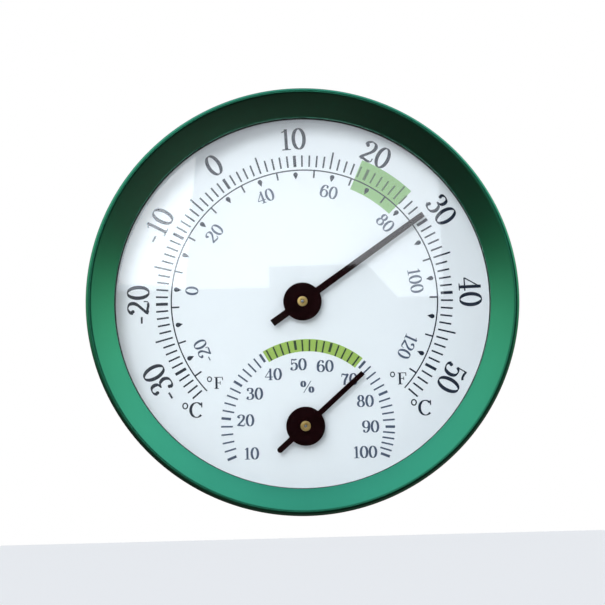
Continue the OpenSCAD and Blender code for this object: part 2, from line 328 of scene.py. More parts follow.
def anodised_aluminium(dye):
    """Anodised aluminium, spun to shape, blasted satin and dyed. The film keeps the metal's
    broad soft highlight, with faint rings from spinning and a slightly uneven dye."""
    material, tree, shader, place = new_finish(
        "anodised_aluminium", {"Metallic": 1.0, "Coat Weight": 0.12, "Coat Roughness": 0.25}
    )
    rings = lathe_lines(tree, place, 0, 0.35 * MM)
    blasted = noise(tree, place, 0.3 * MM, 2)
    tint(tree, shader, noise(tree, place, 14 * MM, 3), darker(dye, 0.12), dye)
    vary(tree, shader, blasted, 0.26, 0.4)
    roughen(tree, shader, calculate(tree, "MULTIPLY_ADD", rings, 0.6, blasted), 0.006 * MM)
    return material


def float_glass():
    """Float glass with seamed edges. Clear, with a faint green cast and the odd smear that
    softens what it reflects. Lamps shine through it."""
    material, tree, shader, place = new_finish(
        "float_glass",
        {"Transmission Weight": 1.0, "IOR": 1.5, "Base Color": (*linear("#F6FBFA"), 1)},
    )
    vary(tree, shader, noise(tree, place, 25 * MM, 4), 0.0, 0.035)
    rays = add_node(tree, "ShaderNodeLightPath").outputs["Is Shadow Ray"]
    colour = {"Color": (*linear("#F8FCFC"), 1)}
    clear = add_node(tree, "ShaderNodeBsdfTransparent", (), colour).outputs[0]
    mix = add_node(tree, "ShaderNodeMixShader", (), {0: rays, 1: shader.outputs[0], 2: clear})
    tree.links.new(mix.outputs[0], tree.nodes["Material Output"].inputs["Surface"])
    return material


def baked_enamel(enamel):
    """Baked enamel, sprayed on aluminium. A smooth satin white with a little orange peel."""
    material, tree, shader, place = new_finish(
        "baked_enamel", {"Roughness": 0.4, "Specular IOR Level": 0.4}
    )
    tint(tree, shader, noise(tree, place, 20 * MM, 2), darker(enamel, 0.03), enamel)
    roughen(tree, shader, noise(tree, place, 0.9 * MM, 1), 0.004 * MM)
    return material


def screen_ink(name, colour, unevenness):
    """Screen-printed ink. A matt film whose density changes a little with the mesh."""
    material, tree, shader, place = new_finish(name, {"Specular IOR Level": 0.25})
    mesh_marks = noise(tree, place, 0.5 * MM, 2)
    lighter = [c + (1 - c) * unevenness for c in colour]
    tint(tree, shader, mesh_marks, colour, lighter)
    vary(tree, shader, mesh_marks, 0.5, 0.62)
    return material


def black_lacquer(lacquer):
    """Gloss lacquer on stamped aluminium. Near black with a wet edge; its brown cast is a painted
    reflection.
    """
    material, tree, shader, place = new_finish("black_lacquer", {"Specular IOR Level": 0.12})
    peel = noise(tree, place, 0.7 * MM, 1)
    # Painted reflection: the brown cast comes from the lacquer colour, varied a little at random
    tint(tree, shader, noise(tree, place, 6 * MM, 3), lacquer, [c * 1.4 for c in lacquer])
    vary(tree, shader, peel, 0.04, 0.07)
    roughen(tree, shader, peel, 0.002 * MM)
    return material


def turned_brass(name, centre_z):
    """Free-cutting brass, turned on a lathe. Bright rings, dulled here and there by tarnish."""
    material, tree, shader, place = new_finish(name, {"Metallic": 1.0})
    rings = lathe_lines(tree, place, centre_z, 0.12 * MM)
    tarnish = noise(tree, place, 1.5 * MM, 4)
    tint(tree, shader, tarnish, linear("#D9BC7C"), linear("#A98650"))
    vary(tree, shader, rings, 0.22, 0.42)
    roughen(tree, shader, rings, 0.01 * MM)
    return material


def ground_steel(name, centre_z):
    """Carbon steel rod, centreless ground. Bright, with very fine rings."""
    material, tree, shader, place = new_finish(name, {"Metallic": 1.0})
    rings = lathe_lines(tree, place, centre_z, 0.08 * MM)
    tint(tree, shader, rings, linear("#C9CCD0"), linear("#9EA2A8"))
    vary(tree, shader, rings, 0.18, 0.3)
    return material


def zinc_plated_steel():
    """Cold-rolled steel strip, stamped and zinc plated. Fine rolling lines run across it, and
    the zinc has a faint cloudy bloom."""
    material, tree, shader, place = new_finish("zinc_plated_steel", {"Metallic": 1.0})
    rolled = noise(tree, stretched(tree, place, (0.06, 1, 1)), 0.15 * MM, 3)
    bloom = noise(tree, place, 3 * MM, 3)
    tint(tree, shader, bloom, linear("#B9BEC4"), linear("#8E949C"))
    vary(tree, shader, bloom, 0.3, 0.5)
    roughen(tree, shader, rolled, 0.004 * MM)
    return material


def nickel_plated_steel():
    """Nickel-plated screw steel. A smooth warm grey with light scuffs from the driver."""
    material, tree, shader, place = new_finish("nickel_plated_steel", {"Metallic": 1.0})
    scuffs = noise(tree, place, 0.4 * MM, 5)
    tint(tree, shader, scuffs, linear("#C8C3B8"), linear("#8F8B83"))
    vary(tree, shader, scuffs, 0.2, 0.45)
    return material


def spring_bronze():
    """Phosphor bronze, rolled and stamped. A reddish metal, a little dull."""
    material, tree, shader, place = new_finish("spring_bronze", {"Metallic": 1.0})
    stain = noise(tree, place, 0.8 * MM, 4)
    tint(tree, shader, stain, linear("#C98F62"), linear("#9A6640"))
    vary(tree, shader, stain, 0.3, 0.5)
    return material


def coil_strip(name, first, second, metallic, low_roughness):
    """A rolled strip whose two bonded layers differ in colour. Fine lines run along it."""
    material, tree, shader, place = new_finish(name, {"Metallic": metallic})
    lines = noise(tree, stretched(tree, place, (0.15, 1, 0.15)), 0.12 * MM, 3)
    side = add_node(tree, "ShaderNodeAttribute", {"attribute_name": "outer_layer"})
    tint(tree, shader, side.outputs["Fac"], linear(first), linear(second))
    vary(tree, shader, lines, low_roughness, low_roughness + 0.2)
    roughen(tree, shader, lines, 0.004 * MM)
    return material


def moulded_plastic(name, colour, grain, depth, roughness):
    """Injection-moulded plastic. An even colour with the mould's fine spark-eroded grain."""
    material, tree, shader, place = new_finish(name, {"IOR": 1.53})
    spark = noise(tree, place, grain, 2)
    tint(tree, shader, noise(tree, place, 18 * MM, 3), darker(colour, 0.15), colour)
    vary(tree, shader, spark, roughness - 0.08, roughness + 0.08)
    roughen(tree, shader, spark, depth)
    return material


def pressed_rubber():
    """Nitrile rubber, pressed and cut. Matt black with a dusty bloom."""
    material, tree, shader, place = new_finish("pressed_rubber", {"IOR": 1.52})
    bloom = noise(tree, place, 2 * MM, 4)
    tint(tree, shader, bloom, linear("#1A1A1B"), linear("#2C2C2D"))
    vary(tree, shader, bloom, 0.7, 0.9)
    return material


# ---------- Geometry Nodes ----------


def new_tree(name, **inputs):
    """A Geometry Nodes tree with named inputs. Returns the tree and its input node's outputs."""
    tree = bpy.data.node_groups.new(name, "GeometryNodeTree")
    tree.is_modifier = True
    sockets = {"Geometry": "Geometry", **inputs, "Material": "Material"}
    for label, kind in sockets.items():
        tree.interface.new_socket(
            label.replace("_", " "), in_out="INPUT", socket_type=f"NodeSocket{kind}"
        )
    tree.interface.new_socket("Geometry", in_out="OUTPUT", socket_type="NodeSocketGeometry")
    return tree, add_node(tree, "NodeGroupInput").outputs


def close_tree(tree, given, shape):
    """Ends a tree in Realize Instances and Set Material."""
    inputs = {"Geometry": realised(tree, shape), "Material": given["Material"]}
    painted = add_node(tree, "GeometryNodeSetMaterial", (), inputs)
    add_node(tree, "NodeGroupOutput", (), {0: painted.outputs[0]})
    return tree


def realised(tree, shape):
    """Instances made into one real mesh."""
    return add_node(tree, "GeometryNodeRealizeInstances", (), {0: shape}).outputs[0]


def shape_of(tree, thing):
    """The shape of the object in a socket."""
    return add_node(tree, "GeometryNodeObjectInfo", (), {"Object": thing}).outputs["Geometry"]


def moved(tree, shape, position):
    """A shape with its points put in place."""
    inputs = {"Geometry": shape, "Position": position}
    return add_node(tree, "GeometryNodeSetPosition", (), inputs).outputs[0]


def copies(tree, points, piece, **inputs):
    """A copy of a piece on each point."""
    inputs = {"Points": points, "Instance": piece, **inputs}
    return add_node(tree, "GeometryNodeInstanceOnPoints", (), inputs).outputs[0]


def number_named(tree, name):
    """A number that each point carries under a name."""
    return add_node(
        tree, "GeometryNodeInputNamedAttribute", {"data_type": "FLOAT"}, {"Name": name}
    ).outputs[0]


def with_number(tree, shape, name, value):
    """A shape whose points carry a number under a name."""
    return add_node(
        tree,
        "GeometryNodeStoreNamedAttribute",
        {"data_type": "FLOAT", "domain": "POINT"},
        {"Geometry": shape, "Name": name, "Value": value},
    ).outputs[0]


def polar_parts(tree, radius, angle):
    """The cosine and sine parts of a radius at an angle."""
    return [
        calculate(tree, "MULTIPLY", radius, calculate(tree, operation, angle))
        for operation in ("COSINE", "SINE")
    ]


def swept_section_tree():
    """Carries a section of (radius, height) points round the case axis. With no radius gained
    it turns a round part, and with some it winds a coil."""
    tree, given = new_tree(
        "Swept section",
        Steps="Int", Start_angle="Float", Sweep="Float", Start_radius="Float", Radius_gained="Float",
    )
    section = given["Geometry"]
    count = add_node(tree, "GeometryNodeAttributeDomainSize", (), {0: section}).outputs[0]
    rows = calculate(tree, "ADD", given["Steps"], 1.0)
    grid = add_node(tree, "GeometryNodeMeshGrid", (), {"Vertices X": rows, "Vertices Y": count})
    index = add_node(tree, "GeometryNodeInputIndex").outputs[0]
    step = calculate(tree, "FLOOR", calculate(tree, "DIVIDE", index, count))
    along = calculate(tree, "DIVIDE", step, given["Steps"])
    point = calculate(tree, "SUBTRACT", index, calculate(tree, "MULTIPLY", step, count))
    position = add_node(tree, "GeometryNodeInputPosition").outputs[0]
    sample = add_node(
        tree,
        "GeometryNodeSampleIndex",
        {"data_type": "FLOAT_VECTOR"},
        {"Geometry": section, "Value": position, "Index": point},
    )
    parts = add_node(tree, "ShaderNodeSeparateXYZ", (), {0: sample.outputs[0]}).outputs
    gained = calculate(tree, "MULTIPLY_ADD", along, given["Radius gained"], given["Start radius"])
    angle = calculate(tree, "MULTIPLY_ADD", along, given["Sweep"], given["Start angle"])
    x, z = polar_parts(tree, calculate(tree, "ADD", gained, parts["X"]), angle)
    place = vector(tree, x, calculate(tree, "MULTIPLY", parts["Y"], -1.0), z)
    layer = calculate(tree, "GREATER_THAN", parts["X"], 0.0)
    shape = with_number(tree, grid.outputs["Mesh"], "along", along)
    shape = moved(tree, with_number(tree, shape, "outer_layer", layer), place)
    merged = add_node(
        tree, "GeometryNodeMergeByDistance", (), {"Geometry": shape, "Distance": DOUBLES}
    )
    return close_tree(tree, given, merged.outputs[0])


def marks_tree():
    """Puts a mark at each point, turned to its bearing and scaled to its width and length."""
    tree, given = new_tree("Scale marks", Mark="Object", Centre="Vector", Ink_height="Float")
    bearing, radius, width, length = (
        number_named(tree, name) for name in ("bearing", "radius", "width", "length")
    )
    up, right = polar_parts(tree, radius, bearing)
    place = add_node(
        tree, "ShaderNodeVectorMath", (), {0: vector(tree, x=right, z=up), 1: given["Centre"]}
    )
    points = moved(tree, given["Geometry"], place.outputs[0])
    marks = copies(
        tree,
        points,
        shape_of(tree, given["Mark"]),
        Rotation=vector(tree, y=bearing),
        Scale=vector(tree, width, given["Ink height"], length),
    )
    return close_tree(tree, given, marks)


def ring_tree():
    """Sets copies of a piece round the case, each turned to point outwards."""
    tree, given = new_tree(
        "Ring of pieces",
        Piece="Object", Count="Int", First_angle="Float", Ring_radius="Float", Height="Float",
    )
    line = add_node(tree, "GeometryNodeMeshLine", (), {"Count": given["Count"]}).outputs[0]
    index = add_node(tree, "GeometryNodeInputIndex").outputs[0]
    share = calculate(tree, "DIVIDE", index, given["Count"])
    angle = calculate(tree, "MULTIPLY_ADD", share, math.tau, given["First angle"])
    x, z = polar_parts(tree, given["Ring radius"], angle)
    place = vector(tree, x, calculate(tree, "MULTIPLY", given["Height"], -1.0), z)
    turn = vector(tree, y=calculate(tree, "MULTIPLY", angle, -1.0))
    piece = shape_of(tree, given["Piece"])
    return close_tree(tree, given, copies(tree, moved(tree, line, place), piece, Rotation=turn))


def drilled_tree():
    """Cuts a ladder of slots above and below the axis, and any other holes, through a piece."""
    tree, given = new_tree(
        "Drilled piece",
        Holes="Object", Slot="Object", Slots="Int", First_slot="Float", Pitch="Float",
    )
    slot = shape_of(tree, given["Slot"])
    holes = shape_of(tree, given["Holes"])
    ladders = []
    for side in (1.0, -1.0):
        start, gap = (
            vector(tree, z=calculate(tree, "MULTIPLY", given[name], side))
            for name in ("First slot", "Pitch")
        )
        inputs = {"Count": given["Slots"], "Start Location": start, "Offset": gap}
        line = add_node(tree, "GeometryNodeMeshLine", (), inputs).outputs[0]
        ladders.append(copies(tree, line, slot))
    cutters = add_node(tree, "GeometryNodeJoinGeometry")
    for shape in (*ladders, holes):
        tree.links.new(shape, cutters.inputs[0])
    cut = add_node(
        tree,
        "GeometryNodeMeshBoolean",
        {"operation": "DIFFERENCE", "solver": "EXACT"},
        {"Mesh 1": given["Geometry"], "Mesh 2": realised(tree, cutters.outputs[0])},
    )
    return close_tree(tree, given, cut.outputs["Mesh"])


TREES = {}


def tree_called(maker):
    """The tree that a maker builds, made once."""
    if maker not in TREES:
        TREES[maker] = maker()
    return TREES[maker]


def grow(mesh, maker, values, helpers=()):
    """Runs a tree on a mesh and returns what it makes as a plain mesh."""
    tree = tree_called(maker)
    source = new_object("source", mesh)
    modifier = source.modifiers.new("Shape", "NODES")
    modifier.node_group = tree
    for socket in tree.interface.items_tree:
        if socket.in_out == "INPUT" and socket.name in values:
            modifier[socket.identifier] = values[socket.name]
    depsgraph = bpy.context.evaluated_depsgraph_get()
    grown = bpy.data.meshes.new_from_object(source.evaluated_get(depsgraph))
    if not grown.polygons:
        raise RuntimeError(f"{tree.name} made no faces")
    source.modifiers.remove(modifier)
    for spare in (source, *helpers):
        bpy.data.objects.remove(spare)
    return grown


# ---------- meshes ----------


def point_mesh(points):
    """A mesh of loose points."""
    mesh = bpy.data.meshes.new("points")
    mesh.from_pydata(points, [], [])
    return mesh


def tidy_mesh(mesh, crease=30, close_ends=False):
    """Merges doubles, closes open ends, points the faces outwards and shades them smooth."""
    work = bmesh.new()
    work.from_mesh(mesh)
    bmesh.ops.remove_doubles(work, verts=work.verts, dist=DOUBLES)
    if close_ends:
        edges = [edge for edge in work.edges if edge.is_boundary]
        bmesh.ops.holes_fill(work, edges=edges, sides=0)
    bmesh.ops.recalc_face_normals(work, faces=work.faces)
    for face in work.faces:
        face.smooth = True
    work.to_mesh(mesh)
    work.free()
    mesh.set_sharp_from_angle(angle=math.radians(crease))
    return mesh


def turned(section, finish, steps=96, centre_z=0):
    """A round part from a closed section of (radius, height) points."""
    ring = [(radius, height, 0) for radius, height in (*section, section[0])]
    values = {
        "Steps": steps,
        "Start angle": 0.0,
        "Sweep": math.tau,
        "Start radius": 0.0,
        "Radius gained": 0.0,
        "Material": finish,
    }
    mesh = grow(point_mesh(ring), swept_section_tree, values)
    mesh.transform(Matrix.Translation((0, 0, centre_z)))
    return tidy_mesh(mesh)


def arc_points(centre, radius, start, end, steps=6):
    """Points on an arc, in degrees."""
    angles = [math.radians(start + (end - start) * i / steps) for i in range(steps + 1)]
    return [
        (centre[0] + radius * math.cos(a), centre[1] + radius * math.sin(a)) for a in angles
    ]


def counterclockwise(points):
    """The same polygon, drawn counterclockwise."""
    doubled = sum(
        a[0] * b[1] - b[0] * a[1] for a, b in zip(points, [*points[1:], points[0]])
    )
    return points if doubled > 0 else points[::-1]


def merge_outlines(outlines, holes=()):
    """Joins flat outlines into one shape, less its holes, as points and triangles."""
    points, faces = [], []
    for outline in (*outlines, *holes):
        start = len(points)
        outline = counterclockwise(list(outline))
        points += [Vector(p) for p in outline]
        faces.append(list(range(start, start + len(outline))))
    made = geometry.delaunay_2d_cdt(points, [], faces, 1, 1e-9, True)
    first_hole = len(outlines)
    kept = [
        face
        for face, origins in zip(made[2], made[5])
        if origins and all(origin < first_hole for origin in origins)
    ]
    return [tuple(p) for p in made[0]], [list(face) for face in kept]


def slab(shapes, back, front):
    """A mesh of flat shapes given thickness, standing between two heights on the dial. Shapes
    that follow each other differ a little in height, so that no two tops lie in one plane."""
    work = bmesh.new()
    steps, step = 5, (front - back) * 0.01
    for number, (points, faces) in enumerate(shapes):
        top = front - step * (number % steps)
        layers = [[work.verts.new((x, -height, z)) for x, z in points] for height in (top, back)]
        sides = set()
        for face in faces:
            work.faces.new([layers[0][i] for i in face])
            work.faces.new([layers[1][i] for i in reversed(face)])
            sides.update(zip(face, [*face[1:], face[0]]))
        for a, b in sorted(sides):
            if (b, a) not in sides:
                work.faces.new([layers[0][b], layers[0][a], layers[1][a], layers[1][b]])
    spare = [v for v in work.verts if not v.link_faces]
    bmesh.ops.delete(work, geom=spare, context="VERTS")
    bmesh.ops.recalc_face_normals(work, faces=work.faces)
    mesh = bpy.data.meshes.new("slab")
    work.to_mesh(mesh)
    work.free()
    return mesh


def join_meshes(meshes):
    """One mesh out of several that share a finish."""
    work = bmesh.new()
    for mesh in meshes:
        work.from_mesh(mesh)
    joined = bpy.data.meshes.new("joined")
    work.to_mesh(joined)
    work.free()
    return joined


def soften_edges(mesh, width, angle=40, segments=2):
    """Rounds a mesh's sharp edges with a Bevel modifier, applied."""
    thing = new_object("helper", mesh)
    bevel = thing.modifiers.new("Edges", "BEVEL")
    bevel.width = width
    bevel.segments = segments
    bevel.limit_method = "ANGLE"
    bevel.angle_limit = math.radians(angle)
    depsgraph = bpy.context.evaluated_depsgraph_get()
    softened = bpy.data.meshes.new_from_object(thing.evaluated_get(depsgraph))
    bpy.data.objects.remove(thing)
    return softened


def paint(mesh, finish):
    """Gives a whole mesh one finish."""
    mesh.materials.clear()
    mesh.materials.append(finish)


def new_object(name, data):
    """An object in the scene."""
    thing = bpy.data.objects.new(name, data)
    bpy.context.scene.collection.objects.link(thing)
    return thing


def new_piece(name, mesh, finish):
    """An object with a finish."""
    mesh.name = name
    paint(mesh, finish)
    return new_object(name, mesh)


def finish_piece(name, mesh, finish, body, stands_for=()):
    """Makes the object, hangs it on the empty of the body that it rides on, and hides the CAD nodes that it
    stands for.
    """
    piece = new_piece(name, mesh, finish)
    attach(piece, body)
    if stands_for:
        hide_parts(*stands_for)


# ---------- case and window ----------


def case_section(case):
    """Half section of the case sheet: side wall, folded rim, funnel and lip."""
    radius, depth = outer_radius("case_shell"), heights("case_shell")[1]
    fold = case.fold_radius + case.sheet
    centre = (radius - fold, depth - fold)
    edge = (case.window_radius, depth - case.bezel_drop)
    reach = (centre[0] - edge[0], centre[1] - edge[1])
    slope = math.atan2(reach[1], reach[0]) + math.asin(fold / math.hypot(*reach))
    bend = 90 + math.degrees(slope)
    lip_height = edge[1] - case.lip
    lip_radius = edge[0] + case.sheet
    inner_height = edge[1] + case.sheet * (math.tan(slope) - 1 / math.cos(slope))
    rounding = case.edge_round
    turn = rounding * math.tan((math.pi / 2 - slope) / 2)
    round_centre = (edge[0] + rounding, edge[1] - turn)
    corner = 0.15 * MM
    # Rows of points that keep the facets of the tall wall short
    rows = [height * MM for height in (3, 4.5, 6, 7.5, 9, 16)]
    outer_wall = [(radius - 0.2 * MM, 0), (radius, 0.3 * MM), *[(radius, row) for row in rows]]
    inner_wall = [(radius - case.sheet, row) for row in (*reversed(rows), 0)]
    return [
        *outer_wall,
        *arc_points(centre, fold, 0, bend, 16),
        *arc_points(round_centre, rounding, bend, 180, 5),
        (edge[0], lip_height + corner),
        (edge[0] + corner, lip_height),
        (lip_radius, lip_height),
        (lip_radius, inner_height),
        *arc_points(centre, case.fold_radius, bend, 0, 8),
        *inner_wall,
    ]


def screw_ring(cover, piece_mesh):
    """Copies of a mesh at each case screw's place, pointing outwards."""
    piece = new_object("helper", piece_mesh)
    values = {
        "Piece": piece,
        "Count": cover.screws,
        "First angle": math.pi / 2,
        "Ring radius": outer_radius("case_shell"),
        "Height": cover.screw_height,
    }
    return grow(point_mesh([(0, 0, 0)]), ring_tree, values, [piece])


def along_x(section, steps=32):
    """A round part whose axis is X, from a section of (radius, reach along X) points."""
    mesh = turned(section, None, steps)
    mesh.transform(Matrix.Rotation(math.radians(90), 4, "Z"))
    return mesh


# How far a screw's head lies below the surface
SCREW_SINK = 0.1 * MM


def screw_hole(cover, reach_in):
    """The tool that countersinks and drills for one screw, with its axis along X."""
    play, reach_out = 0.05 * MM, 1 * MM
    depth = cover.head_radius - cover.screw_radius
    shank = cover.screw_radius + play
    head = cover.head_radius + play
    section = [
        (0, -reach_in),
        (shank, -reach_in),
        (shank, -depth - SCREW_SINK),
        (head, -SCREW_SINK),
        (head, reach_out),
        (0, reach_out),
    ]
    return along_x(section)


def drill(mesh, holes, slot=None, **ladder):
    """Cuts holes, and a ladder of slots if there is one, through a mesh."""
    tools = {"Holes": new_object("helper", holes)}
    if slot:
        tools["Slot"] = new_object("helper", slot)
    spacing = {name.replace("_", " "): value for name, value in ladder.items()}
    return grow(mesh, drilled_tree, {"Slots": 0, **tools, **spacing}, tools.values())


class MakeCase(bpy.types.Operator):
    """Makes the green case with its funnel bezel, and finishes the seal"""

    bl_idname = "dial.make_case"
    bl_label = "Case"

    def execute(self, context):
        case, cover = context.scene.dial_case, context.scene.dial_cover
        finish = anodised_aluminium(list(case.dye))
        shell = turned(case_section(case), finish, case.steps)
        holes = screw_ring(cover, screw_hole(cover, 4 * MM))
        shell = tidy_mesh(drill(shell, holes), 28)
        finish_piece("anodised_case", shell, finish, "case", ["case_shell"])
        paint(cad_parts["lens_seal"].data, pressed_rubber())
        return {"FINISHED"}


class MakeWindow(bpy.types.Operator):
    """Makes the glass and the white ring that holds it off the dial"""

    bl_idname = "dial.make_window"
    bl_label = "Window"

    def execute(self, context):
        case = context.scene.dial_case
        self.make_glass(case)
        self.make_spacer(case)
        return {"FINISHED"}

    def make_glass(self, case):
        """The pane, with its sharp edges seamed off."""
        radius = outer_radius("lens")
        back, front = heights("lens")
        pane = [
            (0, back),
            (radius - case.seam, back),
            (radius, back + case.seam),
            (radius, front - case.seam),
            (radius - case.seam, front),
            (0, front),
        ]
        glass = float_glass()
        mesh = turned(pane, glass, case.steps)
        finish_piece("window_glass", mesh, glass, "case", ["lens"])

    def make_spacer(self, case):
        """The white ring, with its inner front edge rounded and a little draft on its wall."""
        low, high = heights("spacer_ring")
        high -= 0.02 * MM
        outer = outer_radius("spacer_ring")
        inner = outer - case.spacer_width
        rounding, draft = 0.4 * MM, 0.05 * MM
        ring = [
            (outer, low),
            (inner, low),
            (inner + draft, high - rounding),
            *arc_points((inner + draft + rounding, high - rounding), rounding, 180, 90, 4),
            (outer, high),
        ]
        white = moulded_plastic("moulded_styrene", linear("#E9ECEC"), 0.3 * MM, 0.004 * MM, 0.45)
        mesh = turned(ring, white, case.steps)
        finish_piece("spacer", mesh, white, "case", ["spacer_ring"])


# ---------- lettering ----------

# A stroke is a line of points and the pen's weight, in heights of a numeral. The weight NIB
# makes uprights thick and flats thin, as in printed numerals, and FILLED makes a solid shape.
NIB = "nib"
FILLED = "filled"
PEN_THICK = 0.16
PEN_THIN = 0.055
# The lower this is, the sooner a slanting nib stroke thickens
PEN_SLANT = 1.6
LETTER_GAP = 0.05


def oval(x, y, across, up, start=0, sweep=360, steps=28):
    """Points round an oval, in degrees."""
    count = max(3, round(steps * abs(sweep) / 360))
    angles = [math.radians(start + sweep * i / count) for i in range(count + 1)]
    return [(x + across * math.cos(a), y + up * math.sin(a)) for a in angles]


def smooth_line(points, steps=6):
    """A Catmull-Rom line through the points."""
    ends = [points[0], *points, points[-1]]
    line = []
    for before, a, b, after in zip(ends, ends[1:], ends[2:], ends[3:]):
        for i in range(steps):
            t = i / steps
            line.append(
                tuple(
                    0.5
                    * (
                        2 * p1
                        + (p2 - p0) * t
                        + (2 * p0 - 5 * p1 + 4 * p2 - p3) * t * t
                        + (3 * p1 - p0 - 3 * p2 + p3) * t**3
                    )
                    for p0, p1, p2, p3 in zip(before, a, b, after)
                )
            )
    return [*line, tuple(points[-1])]


def rotated(strokes, width):
    """The strokes turned upside down within their width."""
    return [([(width - x, 1 - y) for x, y in points], weight) for points, weight in strokes]


def ball(x, y, radius=0.08):
    """A ball at the end of a stroke."""
    return oval(x, y, radius, radius, steps=16), FILLED


SIX = [
    (smooth_line([(0.51, 0.86), (0.43, 0.955), (0.31, 0.975), (0.18, 0.86), (0.1, 0.66),
                  (0.08, 0.42), (0.09, 0.3)]), NIB),
    (oval(0.315, 0.315, 0.235, 0.295), NIB),
    ball(0.49, 0.83),
]

# Each character's width and strokes
GLYPHS = {
    "0": (0.64, [(oval(0.32, 0.5, 0.245, 0.478, steps=36), NIB)]),
    "1": (0.46, [
        ([(0.25, 0.02), (0.25, 0.99)], 0.14),
        ([(0.25, 0.97), (0.17, 0.89), (0.06, 0.84)], 0.06),
        ([(0.05, 0.024), (0.45, 0.024)], 0.048),
        ([(0.17, 0.06), (0.33, 0.06)], 0.04),
    ]),
    "2": (0.62, [
        (smooth_line([(0.075, 0.74), (0.11, 0.88), (0.28, 0.975), (0.46, 0.91), (0.51, 0.74),
                      (0.44, 0.55), (0.25, 0.33), (0.1, 0.16), (0.07, 0.05)]), NIB),
        (smooth_line([(0.08, 0.07), (0.2, 0.1), (0.38, 0.06), (0.5, 0.07)]), 0.11),
        (smooth_line([(0.5, 0.05), (0.57, 0.1), (0.585, 0.26)]), 0.05),
        ball(0.135, 0.75),
    ]),
    "3": (0.62, [
        (smooth_line([(0.09, 0.83), (0.17, 0.94), (0.3, 0.978), (0.44, 0.92), (0.49, 0.77),
                      (0.43, 0.61), (0.25, 0.54)]), NIB),
        (smooth_line([(0.25, 0.54), (0.45, 0.49), (0.54, 0.28), (0.45, 0.08), (0.28, 0.022),
                      (0.14, 0.06), (0.065, 0.18)]), NIB),
        ball(0.135, 0.8),
        ball(0.12, 0.2),
    ]),
    "4": (0.64, [
        ([(0.44, 0.02), (0.44, 0.99)], 0.14),
        ([(0.47, 0.97), (0.035, 0.28)], 0.055),
        ([(0.02, 0.265), (0.62, 0.265)], 0.06),
        ([(0.28, 0.024), (0.6, 0.024)], 0.048),
    ]),
    "5": (0.6, [
        (smooth_line([(0.12, 0.93), (0.28, 0.9), (0.42, 0.91), (0.51, 0.96)]), 0.1),
        ([(0.12, 0.97), (0.105, 0.5)], 0.05),
        (smooth_line([(0.11, 0.51), (0.2, 0.6), (0.33, 0.63), (0.47, 0.55), (0.53, 0.34),
                      (0.45, 0.1), (0.27, 0.022), (0.13, 0.06), (0.065, 0.18)]), NIB),
        ball(0.12, 0.2),
    ]),
    "6": (0.62, SIX),
    "7": (0.6, [
        (smooth_line([(0.07, 0.92), (0.2, 0.93), (0.36, 0.88), (0.55, 0.94)]), 0.11),
        ([(0.075, 0.95), (0.05, 0.72)], 0.05),
        (smooth_line([(0.55, 0.95), (0.42, 0.66), (0.31, 0.42), (0.27, 0.18), (0.27, 0.02)]), NIB),
    ]),
    "8": (0.62, [
        (oval(0.31, 0.755, 0.175, 0.222), NIB),
        (oval(0.31, 0.275, 0.225, 0.253), NIB),
    ]),
    "9": (0.62, rotated(SIX, 0.62)),
    "-": (0.4, [([(0.04, 0.36), (0.34, 0.36)], 0.085)]),
    "C": (0.92, [
        (oval(0.47, 0.5, 0.38, 0.47, 42, 276, 48), NIB),
        ([(0.8, 0.98), (0.8, 0.66)], 0.07),
    ]),
    "F": (0.82, [
        ([(0.22, 0.02), (0.22, 0.98)], 0.15),
        ([(0.04, 0.024), (0.42, 0.024)], 0.048),
        ([(0.04, 0.976), (0.74, 0.976)], 0.048),
        ([(0.72, 0.98), (0.74, 0.72)], 0.06),
        ([(0.22, 0.5), (0.54, 0.5)], 0.05),
        ([(0.54, 0.64), (0.54, 0.36)], 0.05),
    ]),
    "%": (1.0, [
        (oval(0.2, 0.74, 0.13, 0.22), NIB),
        (oval(0.8, 0.26, 0.13, 0.22), NIB),
        ([(0.78, 0.98), (0.22, 0.02)], 0.05),
    ]),
    "o": (0.9, [(oval(0.45, 0.5, 0.34, 0.4), 0.19)]),
}


def pen_strip(points, weight, boldness):
    """The flat strip that a pen leaves along a line of points, as points and faces."""
    closed = math.dist(points[0], points[-1]) < 1e-6
    line = points[:-1] if closed else points
    edges = []
    for i, point in enumerate(line):
        before = line[i - 1] if closed or i else point
        after = line[(i + 1) % len(line)] if closed or i + 1 < len(line) else point
        run = Vector((after[0] - before[0], after[1] - before[1])).normalized()
        upright = abs(run.y) ** PEN_SLANT
        width = PEN_THIN + (PEN_THICK - PEN_THIN) * upright if weight == NIB else weight
        width *= boldness
        side = Vector((-run.y, run.x)) * width / 2
        edges += [tuple(Vector(point) + side), tuple(Vector(point) - side)]
    count = len(line)
    faces = [
        [2 * i, 2 * i + 1, (2 * i + 3) % (2 * count), (2 * i + 2) % (2 * count)]
        for i in range(count if closed else count - 1)
    ]
    return edges, faces


def disc(points):
    """A flat disc inside a ring of points."""
    return points, [list(range(len(points)))]


def character(letter, boldness):
    """The flat shapes of a character one unit high."""
    return [
        disc(points[:-1]) if weight == FILLED else pen_strip(points, weight, boldness)
        for points, weight in GLYPHS[letter][1]
    ]


def written(text, height, place, bearing=0.0, squeeze=1.0, boldness=1.0):
    """The shapes of a word on the dial, centred on a place and turned clockwise."""
    widths = [GLYPHS[letter][0] for letter in text]
    total = sum(widths) + LETTER_GAP * (len(text) - 1)
    cosine, sine = math.cos(bearing), math.sin(bearing)
    shapes, start = [], -total / 2
    for letter, width in zip(text, widths):
        for points, faces in character(letter, boldness):
            placed = []
            for x, y in points:
                across = (start + x) * height * squeeze
                up = (y - 0.5) * height
                placed.append((
                    place[0] + across * cosine + up * sine,
                    place[1] - across * sine + up * cosine,
                ))
            shapes.append((placed, faces))
        start += width + LETTER_GAP
    return shapes


# ---------- dial ----------


# The Celsius scale in degrees: its bearing at ten, its step, and how much the step grows
CELSIUS_AT_TEN = -2.5
CELSIUS_STEP = 2.99
CELSIUS_GROWTH = 0.0018


